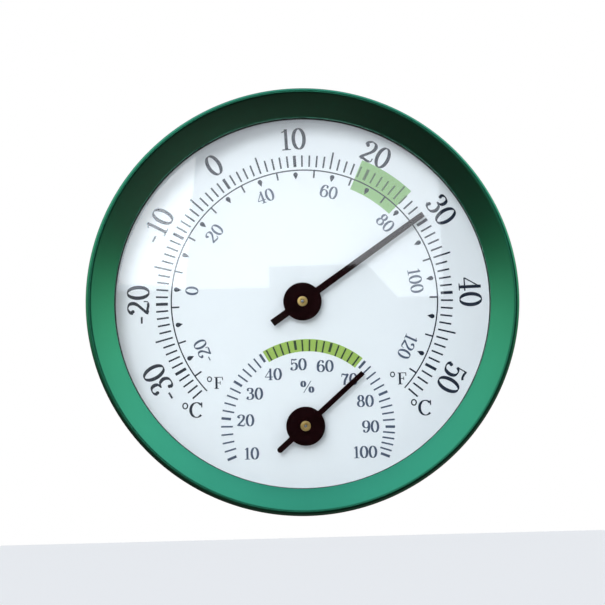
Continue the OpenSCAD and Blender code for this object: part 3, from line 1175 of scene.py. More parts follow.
def celsius_bearing(value):
    """Where a Celsius value stands, clockwise from straight up."""
    past_ten = value - 10
    growth = CELSIUS_GROWTH * past_ten * past_ten
    return math.radians(CELSIUS_AT_TEN + CELSIUS_STEP * past_ten + growth)


def fahrenheit_bearing(value):
    """Where a Fahrenheit value stands, clockwise from straight up."""
    return celsius_bearing((value - 32) / 1.8)


# Degrees clockwise from straight up
HUMIDITY_BEARINGS = {
    10: -111.5, 20: -83.5, 30: -57.5, 40: -32.5, 50: -7.5,
    60: 17.5, 70: 43.0, 80: 68.0, 90: 92.0, 100: 112.0,
}


def humidity_bearing(value):
    """Where a humidity stands, clockwise from straight up: the scale closes up at its ends."""
    below = min(90, value // 10 * 10)
    share = (value - below) / 10
    low, high = HUMIDITY_BEARINGS[below], HUMIDITY_BEARINGS[below + 10]
    return math.radians(low + (high - low) * share)


def polar(centre, radius, bearing):
    """The place at a radius and a bearing from a centre on the dial."""
    return centre[0] + radius * math.sin(bearing), centre[1] + radius * math.cos(bearing)


def print_centres(dial):
    """The centres of the two scales as printed, a little off their shafts."""
    thermo, hygro = shaft_heights()
    warm = (dial.print_right, thermo + dial.print_up)
    return warm, (dial.humidity_right, hygro + dial.humidity_up)


def bar_mark():
    """A plain mark: one unit long, one wide and one high, standing on the dial."""
    corners = [(-0.5, 0), (0.5, 0), (0.5, 1), (-0.5, 1)]
    return slab([merge_outlines([corners])], 0, 1)


def drop_mark():
    """A drop-shaped mark: round at its outer end and pointed at its inner end."""
    radius = 0.32
    outline = [(0, 0), *arc_points((0, 1 - radius), radius, -25, 205, 10)]
    wide = [(x / (2 * radius), y) for x, y in outline]
    return slab([merge_outlines([wide])], 0, 1)


def print_marks(name, marks, mark_mesh, centre, finish, dial):
    """Prints marks, each given as bearing, inner radius, outer radius and width in mm."""
    points = point_mesh([(0, 0, 0)] * len(marks))
    bearings, inner, outer, widths = zip(*marks)
    fields = {
        "bearing": bearings,
        "radius": [radius * MM for radius in inner],
        "length": [end * MM - start * MM for start, end in zip(inner, outer)],
        "width": [width * MM for width in widths],
    }
    for field, numbers in fields.items():
        points.attributes.new(field, "FLOAT", "POINT").data.foreach_set("value", numbers)
    face = heights("dial_plate")[1]
    mark = new_object("helper", mark_mesh)
    values = {
        "Mark": mark,
        "Centre": (centre[0], -face, centre[1]),
        "Ink height": dial.ink_height,
        "Material": finish,
    }
    mesh = grow(points, marks_tree, values, [mark])
    finish_piece(name, tidy_mesh(mesh), finish, "case")


def print_shapes(name, shapes, finish, dial, height_share=1.0):
    """Prints flat shapes on the dial."""
    face = heights("dial_plate")[1]
    sunk = 0.002 * MM
    mesh = slab(shapes, face - sunk, face + dial.ink_height * height_share)
    finish_piece(name, mesh, finish, "case")


def band(centre, inner, outer, start, end, steps=48):
    """A strip of a ring, between two radii in mm and two bearings."""
    bearings = [start + (end - start) * i / steps for i in range(steps + 1)]
    outer_edge = [polar(centre, outer * MM, b) for b in bearings]
    inner_edge = [polar(centre, inner * MM, b) for b in bearings]
    points = [p for pair in zip(outer_edge, inner_edge) for p in pair]
    faces = [[2 * i, 2 * i + 2, 2 * i + 3, 2 * i + 1] for i in range(steps)]
    return points, faces


# How far the front flange of a bush reaches past its neck
BUSH_FLANGE = 0.9 * MM


class MakeDial(bpy.types.Operator):
    """Makes the white dial plate and its comfort bands"""

    bl_idname = "dial.make_dial"
    bl_label = "Dial"

    def execute(self, context):
        dial = context.scene.dial_dial
        self.make_plate(dial)
        warm, humid = print_centres(dial)
        pale = 0.08
        shape = band(warm, 37.7, 47.8, celsius_bearing(18.75), celsius_bearing(26))
        ink = screen_ink("warm_green_ink", list(dial.warm_green), pale)
        print_shapes("comfort_band", [shape], ink, dial, 0.5)
        shape = band(humid, 22.8, 26.6, humidity_bearing(41), humidity_bearing(69))
        ink = screen_ink("humid_green_ink", list(dial.humid_green), pale)
        print_shapes("humidity_band", [shape], ink, dial, 0.5)
        return {"FINISHED"}

    def make_plate(self, dial):
        """The plate, with a hole for the neck of each bush."""
        radius = outer_radius("dial_plate")
        back, front = heights("dial_plate")
        enamel = baked_enamel(list(dial.enamel))
        plate = turned([(0, back), (radius, back), (radius, front), (0, front)], enamel, 192)
        neck = outer_radius("thermo_bush") - BUSH_FLANGE
        hole = [(0, back - MM), (neck, back - MM), (neck, front + MM), (0, front + MM)]
        tools = [turned(hole, None, 64, z) for z in shaft_heights()]
        plate = tidy_mesh(drill(plate, join_meshes(tools)))
        finish_piece("dial_face", plate, enamel, "case", ["dial_plate"])


class PrintScales(bpy.types.Operator):
    """Prints the marks of the three scales"""

    bl_idname = "dial.print_scales"
    bl_label = "Scale marks"

    def execute(self, context):
        dial = context.scene.dial_dial
        warm, humid = print_centres(dial)
        black = screen_ink("black_ink", list(dial.black_ink), 0.02)
        fine = screen_ink("fine_ink", list(dial.grey_ink), 0.03)
        over_humid = screen_ink("ink_on_green", linear("#20341A"), 0.05)
        over_warm = screen_ink("ink_on_warm_green", linear("#4A6343"), 0.05)
        self.print_celsius(dial, warm, black, over_warm)
        self.print_fahrenheit(dial, warm, black)
        self.print_arc(dial, warm, black)
        self.print_humidity(dial, humid, fine, over_humid)
        return {"FINISHED"}

    def print_celsius(self, dial, centre, ink, ink_in_band):
        """A mark for every degree: longer at the odd fives, and thicker at the tens."""
        inner, short, long = 42.1, 45.8, 47.6
        thin, thick = 0.53, 0.9
        plain, in_band = [], []
        for value in range(-34, 55):
            tens, fives = value % 10 == 0, value % 5 == 0
            outer = long if fives and not tens else short
            width = thick if tens else thin
            group = in_band if 19 <= value <= 26 else plain
            group.append((celsius_bearing(value), inner, outer, width))
        print_marks("celsius_marks", plain, bar_mark(), centre, ink, dial)
        print_marks("celsius_band_marks", in_band, bar_mark(), centre, ink_in_band, dial)

    def print_fahrenheit(self, dial, centre, ink):
        """Thin marks at the odd tens less five, and drops at the tens."""
        bars = [(fahrenheit_bearing(value), 38.6, 41, 0.5) for value in range(-25, 126, 10)]
        print_marks("fahrenheit_marks", bars, bar_mark(), centre, ink, dial)
        drops = [(fahrenheit_bearing(value), 38.1, 40.4, 1.4) for value in range(-20, 121, 10)]
        print_marks("fahrenheit_drops", drops, drop_mark(), centre, ink, dial)

    def print_arc(self, dial, centre, ink):
        """The line that both temperature scales stand on."""
        middle, reach = math.radians(0.6), math.radians(132.8)
        radius = dial.arc_radius / MM
        line = band(centre, radius - 0.2, radius + 0.2, middle - reach, middle + reach, 160)
        print_shapes("scale_arc", [line], ink, dial)

    def print_humidity(self, dial, centre, ink, ink_in_band):
        """A mark for every two per cent: shorter and thicker at the tens."""
        plain, in_band = [], []
        for value in range(10, 101, 2):
            inner, width = (23.5, 0.78) if value % 10 == 0 else (22.8, 0.5)
            group = in_band if 42 <= value <= 68 else plain
            group.append((humidity_bearing(value), inner, 26.4, width))
        print_marks("humidity_marks", plain, bar_mark(), centre, ink, dial)
        print_marks("humidity_band_marks", in_band, bar_mark(), centre, ink_in_band, dial)


class PrintNumerals(bpy.types.Operator):
    """Prints the numerals and the unit letters"""

    bl_idname = "dial.print_numerals"
    bl_label = "Numerals"

    def execute(self, context):
        dial = context.scene.dial_dial
        warm, humid = print_centres(dial)
        black = screen_ink("numeral_ink", list(dial.black_ink), 0.02)
        fine = screen_ink("fine_numeral_ink", list(dial.grey_ink), 0.03)
        shapes = self.round_scale(warm, range(-30, 51, 10), celsius_bearing, 6.9, 51.2)
        print_shapes("celsius_numerals", shapes, black, dial)
        shapes = self.round_scale(
            warm, range(-20, 121, 20), fahrenheit_bearing, 3.95, 34.85, 1.05, 1.05
        )
        print_shapes("fahrenheit_numerals", shapes, fine, dial)
        print_shapes("humidity_numerals", self.humidity_scale(humid), fine, dial)
        print_shapes("unit_letters", self.units(), black, dial)
        return {"FINISHED"}

    def round_scale(self, centre, values, bearing_of, height, radius, squeeze=1.0, boldness=1.0):
        """Numerals that stand on a ring and turn with it, sized in mm."""
        shapes = []
        for value in values:
            bearing = bearing_of(value)
            place = polar(centre, radius * MM, bearing)
            shapes += written(str(value), height * MM, place, bearing, squeeze, boldness)
        return shapes

    def humidity_scale(self, centre):
        """Upright numerals inside the humidity marks, and the per cent sign."""
        # Degrees by which the numerals at the ends stand off their marks
        nudges = {10: -3, 100: 4}
        shapes = []
        for value in range(10, 101, 10):
            bearing = humidity_bearing(value) + math.radians(nudges.get(value, 0))
            shapes += written(
                str(value), 3.6 * MM, polar(centre, 19 * MM, bearing), 0, 1.08, 1.15
            )
        return shapes + written("%", 3.7 * MM, (0.8 * MM, -26.1 * MM), 0, 1.1, 1.15)

    def units(self):
        """A letter and its degree ring at each end of the temperature scales."""
        # Letter, height, boldness, ring height, then the places of letter and ring, in mm
        signs = [
            ("C", 4.75, 1.15, 2.1, (-33.1, -32.3), (-36.5, -31.0)),
            ("C", 4.75, 1.15, 2.1, (36.5, -33.4), (33.1, -31.7)),
            ("F", 3.6, 1.2, 1.8, (-26.2, -24.2), (-29.0, -23.0)),
            ("F", 3.6, 1.2, 1.8, (29.8, -24.3), (26.9, -23.0)),
        ]
        shapes = []
        for letter, height, boldness, ring, place, ring_place in signs:
            place, ring_place = ([v * MM for v in spot] for spot in (place, ring_place))
            shapes += written(letter, height * MM, place, boldness=boldness)
            shapes += written("o", ring * MM, ring_place)
        return shapes


# ---------- hands and movements ----------


def hand_outline(hands, kind, bearing, round_tail, centre_z):
    """A hand's flat shape: hub disc, tapered blade and tail, with a hole for its collet."""
    blade, hub, tip = (getattr(hands, f"{kind}_{part}") for part in ("blade", "width", "tip"))
    end = hands.tail - hub / 2 if round_tail else hands.tail
    outlines = [
        oval(0, 0, hands.hub_disc, hands.hub_disc, steps=96)[:-1],
        [(-hub / 2, 0), (hub / 2, 0), (tip / 2, blade), (-tip / 2, blade)],
        [(-hub / 2, -end), (hub / 2, -end), (hub / 2, 0), (-hub / 2, 0)],
    ]
    if round_tail:
        outlines.append(oval(0, -end, hub / 2, hub / 2, steps=24)[:-1])
    bore = outer_radius(f"{kind}_collet")
    hole = oval(0, 0, bore, bore, steps=48)[:-1]
    cosine, sine = math.cos(bearing), math.sin(bearing)

    def turn(outline):
        return [(x * cosine + y * sine, centre_z - x * sine + y * cosine) for x, y in outline]

    return merge_outlines([turn(o) for o in outlines], [turn(hole)])


def flatten_faces(mesh):
    """Joins flat triangles into whole faces, so that the edges round evenly."""
    work = bmesh.new()
    work.from_mesh(mesh)
    bmesh.ops.remove_doubles(work, verts=work.verts, dist=DOUBLES)
    bmesh.ops.dissolve_limit(
        work, angle_limit=math.radians(1), verts=work.verts, edges=work.edges
    )
    work.to_mesh(mesh)
    work.free()
    return mesh


class MakeHands(bpy.types.Operator):
    """Makes the two hands with their collets and shafts"""

    bl_idname = "dial.make_hands"
    bl_label = "Hands"

    def execute(self, context):
        hands = context.scene.dial_hands
        lacquer = black_lacquer(list(hands.lacquer))
        for kind, centre_z in zip(("thermo", "hygro"), shaft_heights()):
            bearing = getattr(hands, f"{kind}_bearing")
            shape = hand_outline(hands, kind, bearing, kind == "hygro", centre_z)
            self.make_hand(kind, shape, hands.edge_round, lacquer)
            self.make_collet(kind, centre_z)
            self.make_shaft(kind, centre_z)
        return {"FINISHED"}

    def make_hand(self, kind, shape, edge, lacquer):
        """The stamped and lacquered hand."""
        node = f"{kind}_pointer"
        mesh = soften_edges(flatten_faces(slab([shape], *heights(node))), edge, 50)
        finish_piece(
            f"{kind}_lacquered_hand", tidy_mesh(mesh, 15), lacquer, f"{kind}_hand",
            [node],
        )

    def make_collet(self, kind, centre_z):
        """The brass sleeve that the hand is pressed on, with a countersunk mouth."""
        node = f"{kind}_collet"
        back, front = heights(node)
        outer, bore = outer_radius(node), outer_radius(f"{kind}_arbor")
        rounding, chamfer = 0.25 * MM, 0.1 * MM
        sleeve = [
            (bore, back),
            (outer - chamfer, back),
            (outer, back + chamfer),
            (outer, front - rounding),
            *arc_points((outer - rounding, front - rounding), rounding, 20, 90, 4),
            (bore + 0.3 * MM, front),
            (bore + 0.05 * MM, front - 0.2 * MM),
            (bore, front - 0.3 * MM),
        ]
        brass = turned_brass(f"turned_brass_{kind}_collet", centre_z)
        mesh = turned(sleeve, brass, 64, centre_z)
        finish_piece(f"{kind}_brass_collet", mesh, brass, f"{kind}_hand", [node])

    def make_shaft(self, kind, centre_z):
        """The steel shaft, with its ends broken."""
        node = f"{kind}_arbor"
        back, front = heights(node)
        radius, crown = outer_radius(node), 0.12 * MM
        rod = [
            (0, back),
            (radius - crown, back),
            (radius, back + crown),
            (radius, front - crown),
            (radius - crown, front - 0.02 * MM),
            (0, front),
        ]
        steel = ground_steel(f"ground_steel_{kind}_shaft", centre_z)
        mesh = turned(rod, steel, 40, centre_z)
        finish_piece(f"{kind}_steel_shaft", mesh, steel, f"{kind}_hand", [node])


# Radial gap between a shaft and its bore
SHAFT_PLAY = 0.03 * MM
# Wall of the tube on each adjuster
TUBE_WALL = 1 * MM


def rolled_tube(bore, outer, back, front, edge):
    """Section of a tube with its edges broken."""
    return [
        (bore, back),
        (outer - edge, back),
        (outer, back + edge),
        (outer, front - edge),
        (outer - edge, front),
        (bore, front),
    ]


def soft_copy(node, width):
    """A copy of a stamped CAD piece with its edges broken."""
    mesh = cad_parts[node].data.copy()
    return tidy_mesh(soften_edges(flatten_faces(mesh), width, 50, 1))


class MakeMovements(bpy.types.Operator):
    """Makes the bushes, frames, hubs, friction washers and slotted adjusters"""

    bl_idname = "dial.make_movements"
    bl_label = "Movements"

    def execute(self, context):
        zinc = zinc_plated_steel()
        bronze = spring_bronze()
        for kind, centre_z in zip(("thermo", "hygro"), shaft_heights()):
            self.make_bush(kind, centre_z)
            self.make_adjuster(kind, centre_z)
            self.make_washer(kind, centre_z, bronze)
            for part in ("frame", "anchor_arm"):
                node = f"{kind}_{part}"
                body = "case" if part == "frame" else f"{kind}_setting"
                mesh = soft_copy(node, 0.08 * MM)
                finish_piece(f"{node}_stamping", mesh, zinc, body, [node])
        return {"FINISHED"}

    def make_bush(self, kind, centre_z):
        """The eyelet bush through the dial, and the hub that the coil is wound on."""
        brass = turned_brass(f"turned_brass_{kind}_bush", centre_z)
        node, hub = f"{kind}_bush", f"{kind}_coil_hub"
        shaft, wide = outer_radius(f"{kind}_arbor"), outer_radius(node)
        back, front = heights(node)
        bore, neck, flare = shaft + SHAFT_PLAY, wide - BUSH_FLANGE, wide - 0.4 * MM
        edge, rolled, flange = 0.1 * MM, 0.4 * MM, 0.3 * MM
        section = [
            (bore, back),
            (flare - edge, back),
            (flare, back + edge),
            (flare, back + rolled),
            (neck, back + rolled),
            (neck, front - flange),
            (wide, front - flange),
            (wide, front - edge),
            (wide - edge, front),
            (bore + 0.15 * MM, front),
            (bore, front - 0.15 * MM),
        ]
        mesh = turned(section, brass, 64, centre_z)
        finish_piece(f"{kind}_brass_bush", mesh, brass, "case", [node])
        section = rolled_tube(shaft, outer_radius(hub), *heights(hub), 0.08 * MM)
        mesh = turned(section, brass, 48, centre_z)
        finish_piece(f"{kind}_brass_hub", mesh, brass, f"{kind}_hand", [hub])

    def make_adjuster(self, kind, centre_z):
        """The slotted adjuster: a head, and a tube that the shaft's end turns in."""
        brass = turned_brass(f"turned_brass_{kind}_adjuster", centre_z)
        node = f"{kind}_adjuster"
        back, front = heights(node)
        radius, shaft = outer_radius(node), outer_radius(f"{kind}_arbor")
        head_front, well = back + 1.3 * MM, back + 0.8 * MM
        tube, bore = shaft + TUBE_WALL, shaft + SHAFT_PLAY
        section = [
            (0, back),
            (radius - 0.2 * MM, back),
            (radius, back + 0.2 * MM),
            (radius, head_front - 0.1 * MM),
            (radius - 0.1 * MM, head_front),
            (tube, head_front),
            (tube, front),
            (bore, front),
            (bore, well),
            (0, well),
        ]
        mesh = turned(section, brass, 64, centre_z)
        long, half, deep = radius * 1.2, 0.45 * MM, back + 0.6 * MM
        corners = [(-long, centre_z - half), (long, centre_z - half),
                   (long, centre_z + half), (-long, centre_z + half)]
        mesh = tidy_mesh(drill(mesh, slab([merge_outlines([corners])], back - MM, deep)))
        finish_piece(
            f"{kind}_slotted_adjuster", mesh, brass, f"{kind}_setting", [node]
        )

    def make_washer(self, kind, centre_z, bronze):
        """The washer that holds the setting by friction."""
        node = f"{kind}_friction_washer"
        gap = 0.1 * MM
        bore = outer_radius(f"{kind}_arbor") + TUBE_WALL + gap
        section = rolled_tube(bore, outer_radius(node), *heights(node), 0.06 * MM)
        mesh = turned(section, bronze, 64, centre_z)
        finish_piece(
            f"{kind}_bronze_washer", mesh, bronze, f"{kind}_setting", [node]
        )


class WindCoils(bpy.types.Operator):
    """Winds the bimetal coil and the humidity coil, which tighten as their hands turn"""

    bl_idname = "dial.wind_coils"
    bl_label = "Coils"

    def execute(self, context):
        settings = context.scene.dial_movements
        bimetal = coil_strip("bimetal_strip", "#B9A37C", "#A9AEB4", 1.0, 0.25)
        humid = coil_strip("humidity_strip", "#C9BFA5", "#A7ABAE", 0.0, 0.5)
        for kind, turns, radius, finish, slot, centre_z in zip(
            ("thermo", "hygro"),
            (settings.thermo_turns, settings.hygro_turns),
            (settings.thermo_radius, settings.hygro_radius),
            (bimetal, humid),
            ("bimetal_strip", "humidity_strip"),
            shaft_heights(),
        ):
            self.wind(settings, kind, turns, radius, finish, slot, centre_z)
        return {"FINISHED"}

    def wind(self, settings, kind, turns, radius, finish, slot, centre_z):
        """One coil: its outer end stays with the setting, and its inner end follows the hand."""
        node = f"{kind}_coil"
        back, front = heights(node)
        half, gap = settings.strip / 2, 0.06 * MM
        inner = outer_radius(f"{kind}_coil_hub") + gap + half
        section = [
            (-half, back, 0), (half, back, 0), (half, front, 0), (-half, front, 0),
            (-half, back, 0),
        ]
        values = {
            "Steps": turns * 64,
            "Start angle": settings.anchor_angle - math.tau * turns,
            "Sweep": math.tau * turns,
            "Start radius": inner,
            "Radius gained": radius - inner,
            "Material": finish,
        }
        mesh = grow(point_mesh(section), swept_section_tree, values)
        mesh.transform(Matrix.Translation((0, 0, centre_z)))
        coil = new_piece(f"{kind}_wound_coil", tidy_mesh(mesh, 40, close_ends=True), finish)
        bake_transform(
            coil, f"{kind}_setting", f"{kind}_hand", start=(0, -back, 0), end=(0, -front, 0)
        )
        shares = [1 - item.value for item in mesh.attributes["along"].data]
        mesh.attributes["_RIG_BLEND"].data.foreach_set("value", shares)
        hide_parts(node)


# ---------- back cover and screws ----------


def loft(rings):
    """A closed mesh through rings of points of the same count."""
    work = bmesh.new()
    rows = [[work.verts.new(p) for p in ring] for ring in rings]
    for low, high in zip(rows, rows[1:]):
        for i in range(len(low)):
            j = (i + 1) % len(low)
            work.faces.new([low[i], low[j], high[j], high[i]])
    work.faces.new(list(reversed(rows[0])))
    work.faces.new(rows[-1])
    bmesh.ops.recalc_face_normals(work, faces=work.faces)
    mesh = bpy.data.meshes.new("loft")
    work.to_mesh(mesh)
    work.free()
    return mesh


def flared(outline, front, flare):
    """A tool through the cover that flares at the wall side. The outline takes the width to
    add all round and gives flat points."""
    rings = [(flare, -MM), (flare, 0), (0, flare), (0, front)]
    return loft([[(x, -height, z) for x, z in outline(wider)] for wider, height in rings])


def vent_tool(cover, front, flare):
    """The tool for a vent: a slot with round ends."""
    def outline(wider):
        straight = (cover.vent_length - cover.vent_width) / 2
        radius = cover.vent_width / 2 + wider
        return [
            *arc_points((straight, 0), radius, -90, 90, 10),
            *arc_points((-straight, 0), radius, 90, 270, 10),
        ]

    return flared(outline, front, flare)


def keyhole_tool(cover, front, flare):
    """The tool for the keyhole: a round hole with a narrower slot above it."""
    def outline(wider):
        half = cover.keyhole_width / 2 + wider
        radius = cover.keyhole_radius + wider
        open_angle = math.degrees(math.asin(half / radius))
        top = cover.keyhole_up + cover.keyhole_slot
        return [
            *arc_points((0, cover.keyhole_up), radius, 90 + open_angle, 450 - open_angle, 40),
            *arc_points((0, top), half, 0, 180, 14),
        ]

    return flared(outline, front, flare)


def access_tool(radius, front, flare, centre_z):
    """The tool for a screwdriver hole, which flares at the wall side."""
    wide = radius + flare
    section = [(0, -MM), (wide, -MM), (wide, 0), (radius, flare), (radius, front), (0, front)]
    return turned(section, None, 64, centre_z)


def cross_recess(cover):
    """The tool for the cross in a screw head, tapered as a driver's tip is."""
    half_width = 0.22 * MM
    rings = []
    for reach, height in ((1.0, 0.2), (1.0, -0.1), (0.45, -0.6)):
        long, short = cover.head_radius * 0.62 * reach, half_width * (0.6 + 0.4 * reach)
        arm = [(long, -short), (long, short), (short, short)]
        outline = []
        for _ in range(4):
            outline += arm
            arm = [(-z, y) for y, z in arm]
        rings.append([(height * MM, y, z) for y, z in outline])
    return loft(rings)


def case_screw(cover):
    """One countersunk screw with rolled threads and a cross recess, with its axis along X."""
    depth = cover.head_radius - cover.screw_radius
    pitch, thread = 0.4 * MM, 0.12 * MM
    root, head = cover.screw_radius - thread, cover.head_radius - 0.06 * MM
    start = -cover.screw_length
    section = [(0, start), (cover.screw_radius - 0.35 * MM, start)]
    reach = start + pitch
    while reach + pitch < -depth - SCREW_SINK:
        section += [(root, reach), (cover.screw_radius, reach + pitch / 2)]
        reach += pitch
    section += [
        (cover.screw_radius, -depth - SCREW_SINK),
        (head, -SCREW_SINK - 0.08 * MM),
        (head, -SCREW_SINK),
        (0, -SCREW_SINK),
    ]
    return drill(along_x(section, 40), cross_recess(cover))


class MakeCover(bpy.types.Operator):
    """Makes the moulded back cover with its keyhole, vents and screws"""

    bl_idname = "dial.make_cover"
    bl_label = "Back cover"

    def execute(self, context):
        cover = context.scene.dial_cover
        plastic = moulded_plastic("moulded_abs", list(cover.plastic), 0.35 * MM, 0.02 * MM, 0.55)
        cup = turned(self.section(cover), plastic, 192)
        flare, front, screw_reach = 0.3 * MM, cover.plate + MM, 5.1 * MM
        tools = [
            keyhole_tool(cover, front, flare),
            *(access_tool(cover.access_radius, front, flare, z) for z in shaft_heights()),
            screw_ring(cover, screw_hole(cover, screw_reach)),
        ]
        mesh = drill(
            cup,
            join_meshes(tools),
            vent_tool(cover, front, flare),
            Slots=cover.vents,
            First_slot=cover.first_vent,
            Pitch=cover.vent_pitch,
        )
        mesh = tidy_mesh(mesh)
        finish_piece("moulded_cover", mesh, plastic, "case", ["back_cover"])
        mesh = tidy_mesh(screw_ring(cover, case_screw(cover)))
        nickel = nickel_plated_steel()
        finish_piece("countersunk_screws", mesh, nickel, "case", ["case_screws"])
        return {"FINISHED"}

    def section(self, cover):
        """Half section of the cup: plate with a fine groove near its edge, and rim."""
        radius = outer_radius("back_cover")
        front = heights("back_cover")[1]
        inner = radius - cover.rim
        rounding, groove, slope = 0.5 * MM, 0.35 * MM, 0.3 * MM
        groove_outer, groove_inner = radius - 3 * MM, radius - 4.2 * MM
        return [
            (0, 0),
            (groove_inner, 0),
            (groove_inner + slope, groove),
            (groove_outer - slope, groove),
            (groove_outer, 0),
            (radius - rounding, 0),
            *arc_points((radius - rounding, rounding), rounding, -70, 0, 4),
            (radius, 4 * MM),
            (radius, 8 * MM),
            (radius, front),
            (inner, front),
            (inner, 8 * MM),
            (inner, 4 * MM),
            (inner, cover.plate + rounding),
            *arc_points((inner - rounding, cover.plate + rounding), rounding, -20, -90, 4),
            (0, cover.plate),
        ]


# ---------- stage ----------


def stage_mesh(name, corners, material):
    """A flat piece of the stage."""
    mesh = bpy.data.meshes.new(name)
    mesh.from_pydata(corners, [], [list(range(len(corners)))])
    mesh.materials.append(material)
    thing = new_object(name, mesh)
    return thing


def painted_floor():
    """Matt emulsion on board. An even pale grey with a faint roller texture."""
    material, tree, shader, place = new_finish("painted_floor", {"Roughness": 0.8})
    tint(tree, shader, noise(tree, place, 2.5 * MM, 2), linear("#EFEFEF"), linear("#F7F7F7"))
    return material


def glowing_card(name, colour, strength):
    """A lit card that shines evenly."""
    material = bpy.data.materials.new(name)
    material.use_nodes = True
    tree = material.node_tree
    tree.nodes.clear()
    glow = add_node(
        tree, "ShaderNodeEmission", (), {"Color": (*linear(colour), 1), "Strength": strength}
    )
    add_node(tree, "ShaderNodeOutputMaterial", (), {"Surface": glow.outputs[0]})
    return material


def place_light(name, place, size, watts, colour):
    """A square soft light that faces the dial and leaves no reflection of itself."""
    light = bpy.data.lights.new(name, "AREA")
    light.size = size
    light.energy = watts
    light.color = linear(colour)
    lamp = new_object(name, light)
    lamp.location = place
    lamp.rotation_euler = (-Vector(place)).to_track_quat("-Z", "Y").to_euler()
    lamp.visible_glossy = False


def room_brightness(tree, parts):
    """How bright the room is in each direction: bright overhead, darker below and on the wall
    side, and dark behind the camera except for a glimmer at the left."""
    low = ramp(tree, parts["X"], -0.5, 0.0, 0.12, 0.3)
    glimmer = ramp(tree, parts["X"], -0.14, -0.01, 0.4, 0.012)
    corner = calculate(tree, "ABSOLUTE", calculate(tree, "MULTIPLY", parts["X"], parts["Z"]))
    shares = [
        ramp(tree, parts["Z"], -0.15, 0.25, low, 1.0, "SMOOTHSTEP"),
        ramp(tree, parts["Y"], -0.75, -0.35, glimmer, 1.0, "SMOOTHSTEP"),
        ramp(tree, parts["X"], -1.0, 1.0, 0.95, 1.12),
        ramp(tree, parts["Y"], -0.15, 0.3, 1.0, 0.4),
        calculate(tree, "MULTIPLY_ADD", corner, 0.9, 1.0),
    ]
    level = shares[0]
    for share in shares[1:]:
        level = calculate(tree, "MULTIPLY", level, share)
    return level


def make_room(brightness):
    """The room's light: blue-white overhead, and reddish as a wooden table is below. The camera
    sees plain white."""
    world = bpy.data.worlds.new("room")
    bpy.context.scene.world = world
    world.use_nodes = True
    tree = world.node_tree
    tree.nodes.clear()
    direction = add_node(tree, "ShaderNodeTexCoord").outputs["Generated"]
    parts = add_node(tree, "ShaderNodeSeparateXYZ", (), {0: direction}).outputs
    upper = blend_colours(tree, parts["Z"], linear("#E8DFC0"), linear("#DDE6F8"))
    rise = ramp(tree, parts["Z"], -0.2, 0.0, 0.0, 1.0)
    colour = blend_colours(tree, rise, linear("#FF979B"), upper)
    strength = calculate(tree, "MULTIPLY", room_brightness(tree, parts), brightness)
    room, white = (
        add_node(tree, "ShaderNodeBackground", (), {"Color": hue, "Strength": power}).outputs[0]
        for hue, power in ((colour, strength), ((1, 1, 1, 1), 1.0))
    )
    rays = add_node(tree, "ShaderNodeLightPath").outputs["Is Camera Ray"]
    mix = add_node(tree, "ShaderNodeMixShader", (), {0: rays, 1: room, 2: white})
    add_node(tree, "ShaderNodeOutputWorld", (), {"Surface": mix.outputs[0]})


def make_camera(stage):
    """The camera, a little below the axis and looking up at the dial."""
    camera = new_object("camera", bpy.data.cameras.new("camera"))
    camera.data.lens = stage.lens
    camera.location = (
        0,
        -stage.distance * math.cos(stage.elevation),
        stage.distance * math.sin(stage.elevation),
    )
    look = Vector((0, 0, stage.aim_up)) - camera.location
    turn = look.to_track_quat("-Z", "Y") @ Euler((0, 0, -stage.roll)).to_quaternion()
    camera.rotation_euler = turn.to_euler()
    bpy.context.scene.camera = camera


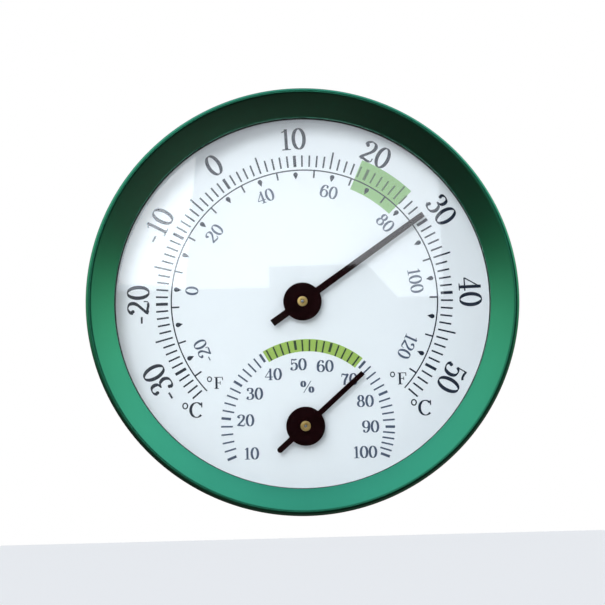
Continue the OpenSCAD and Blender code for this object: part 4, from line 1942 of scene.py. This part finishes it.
class MakeStage(bpy.types.Operator):
    """Makes the floor, the lights and the camera"""

    bl_idname = "dial.make_stage"
    bl_label = "Stage"

    def execute(self, context):
        stage = context.scene.dial_stage
        size, drop = 30.0, -0.55
        corners = [(-size, -size, drop), (size, -size, drop), (size, size, drop),
                   (-size, size, drop)]
        stage_mesh("floor", corners, painted_floor()).visible_glossy = False
        self.make_window_card(stage)
        place_light("key", (-0.2, -0.56, 0.24), 0.26, stage.key, "#F8FAFF")
        make_room(stage.room)
        make_camera(stage)
        context.scene.view_settings.view_transform = "Standard"
        return {"FINISHED"}

    def make_window_card(self, stage):
        """The bright window that the glass reflects, with a step in its lower edge where
        something stands before it. It shows only in reflections."""
        # The outline is in mm where the reflection falls on the glass. The card itself stands
        # further off, on the lines from the camera's mirror image through that outline.
        outline = [(-57, 57), (43, 57), (43, 0), (29, 0), (20, 10.5), (-10, 10.5), (-10, 4),
                   (-57, 4)]
        far = 0.9
        depth = stage.distance * math.cos(stage.elevation)
        low = stage.distance * math.sin(stage.elevation)
        glass = heights("lens")[1]
        reach = 1 + (far - glass) / (depth - glass)
        corners = [
            (x * MM * reach, -far, low + (z * MM - low) * reach) for x, z in outline
        ]
        light = glowing_card("window_light", "#F6F8FF", stage.window)
        card = stage_mesh("window_card", corners, light)
        card.visible_camera = False
        card.visible_diffuse = False
        card.visible_shadow = False


# ---------- panel and run ----------

OPERATORS = (
    MakeCase,
    MakeWindow,
    MakeDial,
    PrintScales,
    PrintNumerals,
    MakeHands,
    MakeMovements,
    WindCoils,
    MakeCover,
    MakeStage,
)
SETTINGS = {
    "dial_case": CaseSettings,
    "dial_dial": DialSettings,
    "dial_hands": HandSettings,
    "dial_movements": MovementSettings,
    "dial_cover": CoverSettings,
    "dial_stage": StageSettings,
}


class DialPanel(bpy.types.Panel):
    """Lists the steps that build the instrument"""

    bl_idname = "VIEW3D_PT_dial_instrument"
    bl_label = "Dial instrument"
    bl_space_type = "VIEW_3D"
    bl_region_type = "UI"
    bl_category = "Dial"

    def draw(self, context):
        for operator in OPERATORS:
            self.layout.operator(operator.bl_idname)


def register():
    for settings in SETTINGS.values():
        bpy.utils.register_class(settings)
    for name, settings in SETTINGS.items():
        setattr(bpy.types.Scene, name, PointerProperty(type=settings))
    for operator in OPERATORS:
        bpy.utils.register_class(operator)
    bpy.utils.register_class(DialPanel)


def unregister():
    bpy.utils.unregister_class(DialPanel)
    for operator in reversed(OPERATORS):
        bpy.utils.unregister_class(operator)
    for name, settings in reversed(SETTINGS.items()):
        delattr(bpy.types.Scene, name)
        bpy.utils.unregister_class(settings)


def main():
    register()
    for operator in OPERATORS:
        group, name = operator.bl_idname.split(".")
        getattr(getattr(bpy.ops, group), name)()


if __name__ == "__main__":
    main()
